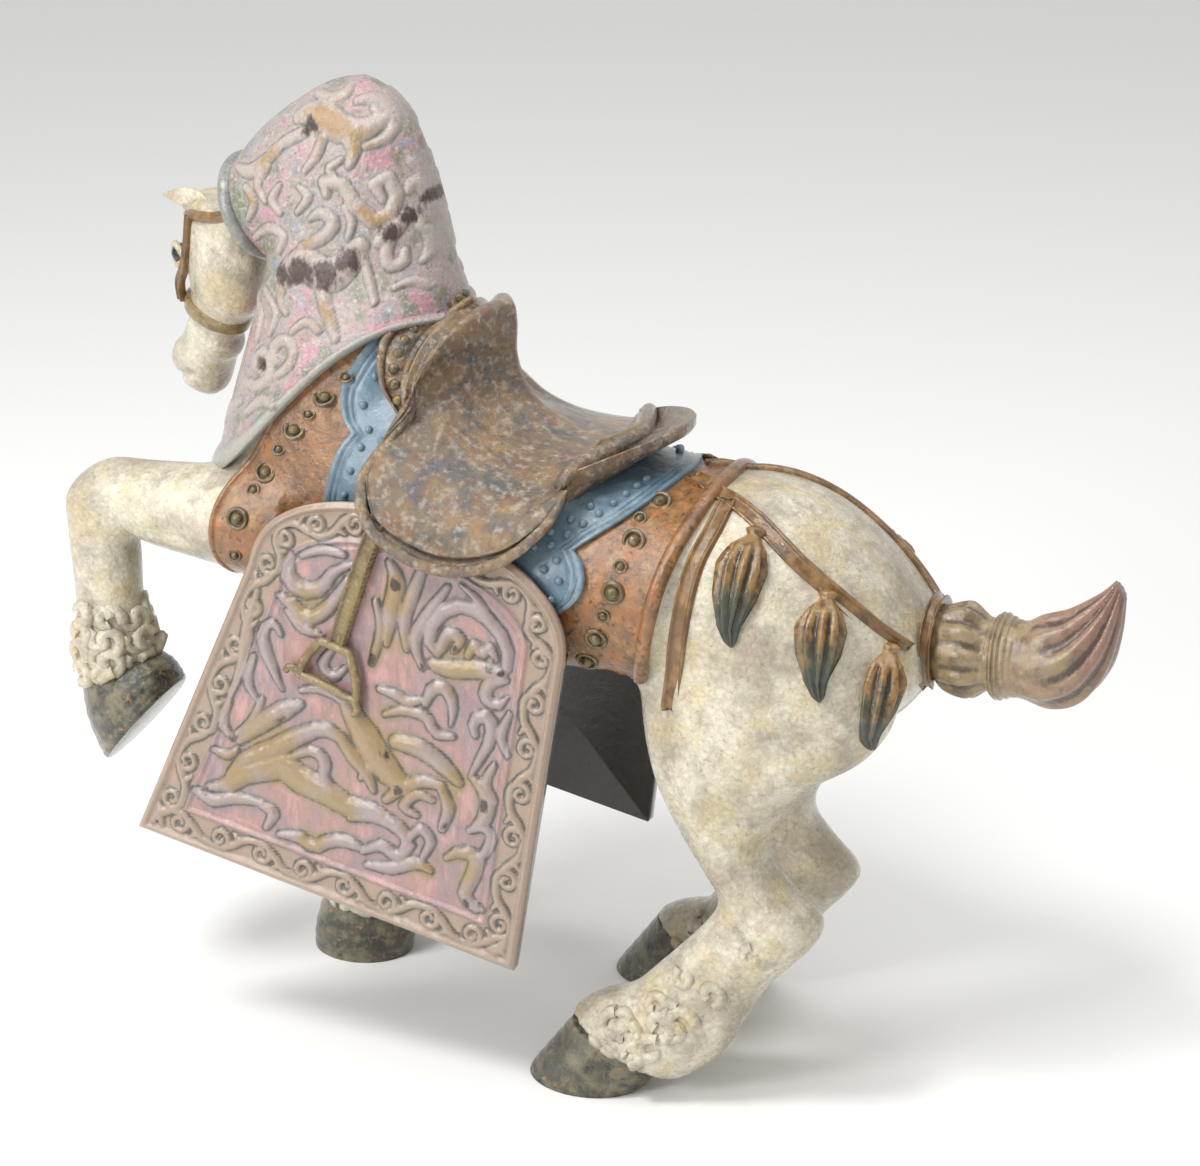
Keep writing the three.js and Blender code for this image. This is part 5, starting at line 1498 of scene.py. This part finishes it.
class HORSE_OT_studs(bpy.types.Operator):
    """Sets the ringed studs along the borders of the blanket and the cloths."""

    bl_idname = "figurine.studs"
    bl_label = "Studs"

    def execute(self, context):
        large = [
            (-124, 51, 316), (-138, 54, 300), (-153, 53, 278), (-162, 50, 256), (29, 31, 281),
            (25, 53, 270), (20, 65, 249), (12, 64, 226), (5, 59, 211),
        ]
        small = [
            (-114, 47, 323), (-131, 53, 308), (-146, 54, 290), (-157, 52, 268), (-164, 47, 243),
            (24, 43, 277), (22, 60, 260), (16, 66, 238),
        ]
        places, shares = [], []
        for side in (-1, 1):
            for share, group in ((1.0, large), (0.62, small)):
                places += [(x, y * side, z) for x, y, z in group]
                shares += [share] * len(group)
        seats, outs = settled(places)
        diameter = context.scene.horse_sizes.stud
        repeated("border_studs", seats + outs * 0.3, outs, shares, stud_tree(),
                 {"Diameter": diameter, "Height": 0.0026}, glaze("stud"))
        rows = []
        for edges in (FRONT_CLOTH, REAR_CLOTH):
            inner, outer = edge_of(edges[0]), edge_of(edges[1])
            way = 1 if outer(0)[0] > inner(0)[0] else -1
            for inset, t0, count in ((11, 0.22, 12), (18, 0.45, 7)):
                for t in np.linspace(t0, 0.93, count):
                    for side in (-1, 1):
                        x, degrees = outer(t * side)
                        rows.append(over_top(x - inset * way, degrees))
        seats, outs = settled(rows)
        repeated("cloth_studs", seats + outs * 0.4, outs, np.ones(len(rows)), bead_tree(),
                 {"Diameter": 0.0038}, glaze("blue"))
        return {"FINISHED"}


# Lines of the straps on the near side.
CRUPPER = [
    (36, -10, 290), (56, -23, 288), (76, -31, 277), (97, -39, 264), (116, -40, 251), (132, -36, 237),
    (143, -27, 226),
]
HIP_STRAP = [(58, -26, 288), (57, -45, 279), (53, -53, 262), (50, -59, 240), (47, -58, 218), (45, -57, 197)]


class HORSE_OT_harness(bpy.types.Operator):
    """Lays the straps over the croup and round the root of the tail."""

    bl_idname = "figurine.harness"
    bl_label = "Harness"

    def execute(self, context):
        width = context.scene.horse_sizes.strap * 1000
        shells = []
        for side in (-1, 1):
            for line in (CRUPPER, HIP_STRAP):
                path = even_line([(x, -y * side, z) for x, y, z in line], 90)
                places, outs = settled(path)
                places = even_line(places[::6], 90)
                shells.append(sweep(places, outs, strap_section(width, 2.4)))
        angle = np.linspace(-2.6, 2.6, 60)
        loop = np.stack([np.full(60, 148.0), 18.5 * np.sin(angle), 221 + 19.5 * np.cos(angle)], 1)
        outs = unit(np.stack([np.full(60, 0.25), np.sin(angle), np.cos(angle)], 1))
        shells.append(sweep(loop, outs, strap_section(width * 0.7, 3.0, 6.0)))
        piece("harness", shells, glaze("strap"))
        return {"FINISHED"}


# Upper end of each tassel, and x, y of its lower end.
TASSELS = [((76, -33, 275), (71, -56)), ((111, -41, 255), (111, -54)), ((138, -37, 233), (132, -43))]


class HORSE_OT_tassels(bpy.types.Operator):
    """Hangs the gourd-shaped, fluted tassels from the crupper straps."""

    bl_idname = "figurine.tassels"
    bl_label = "Tassels"

    def execute(self, context):
        length = context.scene.horse_sizes.tassel * 1000
        shells, drops, grooves = [], [], []
        t = np.linspace(0, 1, 61)
        half = 9.8 * np.interp(
            t, [0, 0.05, 0.1, 0.2, 0.36, 0.58, 0.8, 0.93, 1],
            [0.3, 0.5, 0.32, 0.78, 1.0, 0.84, 0.48, 0.26, 0.05],
        )
        phi = np.linspace(0, 2 * np.pi, 40, endpoint=False)
        for side in (-1, 1):
            for (x, y, z), (x2, y2) in TASSELS:
                top, low = np.array((x, -y * side, z)), np.array((x2, -y2 * side, z - length))
                line = top + (low - top) * t[:, None]
                places, outs = settled(line)
                places = smooth_line(places[::12], 60)
                across = unit(np.cross(outs, np.gradient(places, axis=0)))
                strand = np.cos(9 * phi[None] + 2.6 * t[:, None]) * np.clip((t[:, None] - 0.12) * 6, 0, 1)
                r = half[:, None] * (1 + 0.24 * strand)
                curl = (np.clip(t - 0.8, 0, 1) * 14)[:, None, None] * across[:, None]
                rings = (places[:, None] + across[:, None] * (r * np.cos(phi))[..., None] + curl
                         + outs[:, None] * (0.5 + 0.75 * r * np.sin(phi))[..., None])
                shells.append(skin(rings))
                drops.append(np.concatenate([np.repeat(t, 40), [0.0, 1.0]]))
                grooves.append(np.concatenate([np.clip(-strand, 0, 1).ravel(), [0.0, 0.0]]))
        piece("tassels", shells, glaze("tassel"), {
            "drop": np.concatenate(drops), "groove": np.concatenate(grooves),
        })
        return {"FINISHED"}


class HORSE_OT_tail(bpy.types.Operator):
    """Makes the bound and brushed tail."""

    bl_idname = "figurine.tail"
    bl_label = "Tail"

    def execute(self, context):
        rings = form(TAIL, 120, 16)
        rows, n = rings.shape[:2]
        phi = np.linspace(0, 2 * np.pi, n, endpoint=False)
        t = np.linspace(0, 1, rows)
        bun = np.clip(1 - np.abs(t - 0.2) / 0.12, 0, 1) ** 0.5
        brush = np.clip((t - 0.5) * 6, 0, 1)
        flute = np.cos(11 * phi[None] + 3.0 * t[:, None]) * bun[:, None]
        flute += np.cos(9 * phi[None] + 5.5 * t[:, None]) * brush[:, None]
        centre = rings.mean(1, keepdims=True)
        radius = np.linalg.norm(rings - centre, axis=2)
        shape = centre + (rings - centre) * (1 + 0.075 * flute)[..., None]
        binding = 0.045 * np.cos(t * rows * 1.3) * np.exp(-(((t - 0.4) / 0.06) ** 2))
        shape = centre + (shape - centre) * (1 + binding)[:, None, None]
        groove = np.clip(-flute, 0, 1) * np.clip(radius / 10, 0, 1)
        marks = np.concatenate([groove.ravel(), [0.0, 0.0]])
        piece("tail", [skin(shape)], glaze("tail"), {"groove": marks, "drop": [*np.repeat(t, n), 0.0, 1.0]})
        return {"FINISHED"}


class HORSE_OT_feather(bpy.types.Operator):
    """Sets curled locks of hair round the fetlocks."""

    bl_idname = "figurine.feather"
    bl_label = "Feather"

    def execute(self, context):
        places, outs, shares = [], [], []
        points, faces = skin_of(bpy.data.objects["horse_body"].data)
        tree = BVHTree.FromPolygons(points.tolist(), faces)
        rings = {
            (0.7, 0, -0.6): [
                (14, -51, 28), (24, -51, 30), (36, -50, 33), (50, -50, 40),
                (14, 56, 26), (24, 56, 28), (36, 55, 32), (48, 54, 38),
            ],
            (0.1, 0, 1): [(-247, -40, 194), (-247, -40, 184), (-247, -40, 174), (-246, -40, 165)],
            (0, 0, 1): [(-147, 28, 46), (-147, 28, 38), (-148, 28, 31)],
        }
        for lean, centre in ((lean, centre) for lean, centres in rings.items() for centre in centres):
            axis = Vector(lean).normalized()
            first = axis.cross(Vector((0, 1, 0))).normalized()
            second = axis.cross(first).normalized()
            for k in range(LOCKS_IN_A_RING):
                angle = 2 * math.pi * (k + 0.5 * (len(places) % 2)) / LOCKS_IN_A_RING
                way = first * math.cos(angle) + second * math.sin(angle)
                if way.dot(Vector((-0.9, 0, 0.3))) > 0.72:
                    continue
                hit = tree.ray_cast(Vector(centre) + way * 60, -way)
                if hit[0] is None:
                    continue
                places.append(tuple(hit[0] - hit[1] * 0.9))
                outs.append(tuple(hit[1]))
                shares.append(0.85 + 0.3 * ((k * 7) % 5) / 4)
        sizes = {"Length": 0.0125, "Thickness": 0.0062, "Seed": SEED}
        repeated("feather", places, outs, shares, lock_tree(), sizes, glaze("cream"))
        return {"FINISHED"}


class HORSE_OT_stage(bpy.types.Operator):
    """Sets the floor, the lights and the camera."""

    bl_idname = "figurine.stage"
    bl_label = "Stage"

    def execute(self, context):
        scene = context.scene
        mesh = bpy.data.meshes.new("floor")
        mesh.from_pydata([(-4, -4, 0), (4, -4, 0), (4, 4, 0), (-4, 4, 0)], [], [(0, 1, 2, 3)])
        floor = bpy.data.objects.new("floor", mesh)
        scene.collection.objects.link(floor)
        paper = bpy.data.materials.new("white_paper")
        paper.use_nodes = True
        sheet = paper.node_tree.nodes["Principled BSDF"].inputs
        sheet["Base Color"].default_value, sheet["Roughness"].default_value = tone("#f4f4f2"), 0.9
        mesh.materials.append(paper)

        world = bpy.data.worlds.new("soft_white")
        world.use_nodes = True
        sky = world.node_tree.nodes["Background"].inputs
        sky["Color"].default_value, sky["Strength"].default_value = (1, 1, 1, 1), 0.62
        scene.world = world
        scene.view_settings.view_transform = "Standard"
        for name, place, size, power in (
            ("key", (-0.6, -0.75, 1.7), 0.4, 18), ("top", (0.5, 0.2, 1.9), 1.0, 10),
            ("glint", (-0.7, -1.2, 0.75), 0.35, 9),
        ):
            light = bpy.data.lights.new(name, "AREA")
            light.size, light.energy = size, power
            lamp = bpy.data.objects.new(name, light)
            lamp.location = place
            lamp.rotation_euler = (Vector((0, 0, 0.22)) - Vector(place)).to_track_quat("-Z", "Y").to_euler()
            scene.collection.objects.link(lamp)

        azimuth, elevation, distance = math.radians(22), math.radians(21), 1.45
        level = math.cos(elevation)
        back = Vector((math.sin(azimuth) * level, -math.cos(azimuth) * level, math.sin(elevation)))
        camera = bpy.data.cameras.new("camera")
        camera.sensor_width, camera.lens = 36, 94.57
        seer = bpy.data.objects.new("camera", camera)
        seer.location = Vector((0.00598, 0, 0.226)) + back * distance
        seer.rotation_mode = "QUATERNION"
        seer.rotation_quaternion = (-back).to_track_quat("-Z", "Y")
        scene.collection.objects.link(seer)
        scene.camera = seer
        return {"FINISHED"}


STEPS = (
    HORSE_OT_stage, HORSE_OT_body, HORSE_OT_hooves, HORSE_OT_head, HORSE_OT_neck_cover, HORSE_OT_blanket,
    HORSE_OT_cloths, HORSE_OT_studs, HORSE_OT_harness, HORSE_OT_flaps, HORSE_OT_saddle, HORSE_OT_crescent,
    HORSE_OT_stirrups, HORSE_OT_tassels, HORSE_OT_tail, HORSE_OT_feather,
)


class HORSE_PT_figurine(bpy.types.Panel):
    """Lists the steps and settings of the figurine."""

    bl_label = "Figurine"
    bl_idname = "HORSE_PT_figurine"
    bl_space_type = "VIEW_3D"
    bl_region_type = "UI"
    bl_category = "Figurine"

    def draw(self, context):
        for group in (context.scene.horse_sizes, context.scene.horse_glazes):
            for name in group.bl_rna.properties.keys():
                if name not in ("rna_type", "name"):
                    self.layout.prop(group, name)
        for step in STEPS:
            self.layout.operator(step.bl_idname)


CLASSES = (HorseSizes, HorseGlazes, *STEPS, HORSE_PT_figurine)


def register():
    for cls in CLASSES:
        bpy.utils.register_class(cls)
    bpy.types.Scene.horse_sizes = bpy.props.PointerProperty(type=HorseSizes)
    bpy.types.Scene.horse_glazes = bpy.props.PointerProperty(type=HorseGlazes)


def unregister():
    del bpy.types.Scene.horse_glazes
    del bpy.types.Scene.horse_sizes
    for cls in reversed(CLASSES):
        bpy.utils.unregister_class(cls)


def main():
    register()
    for step in STEPS:
        group, name = step.bl_idname.split(".")
        getattr(getattr(bpy.ops, group), name)()


if __name__ == "__main__":
    main()
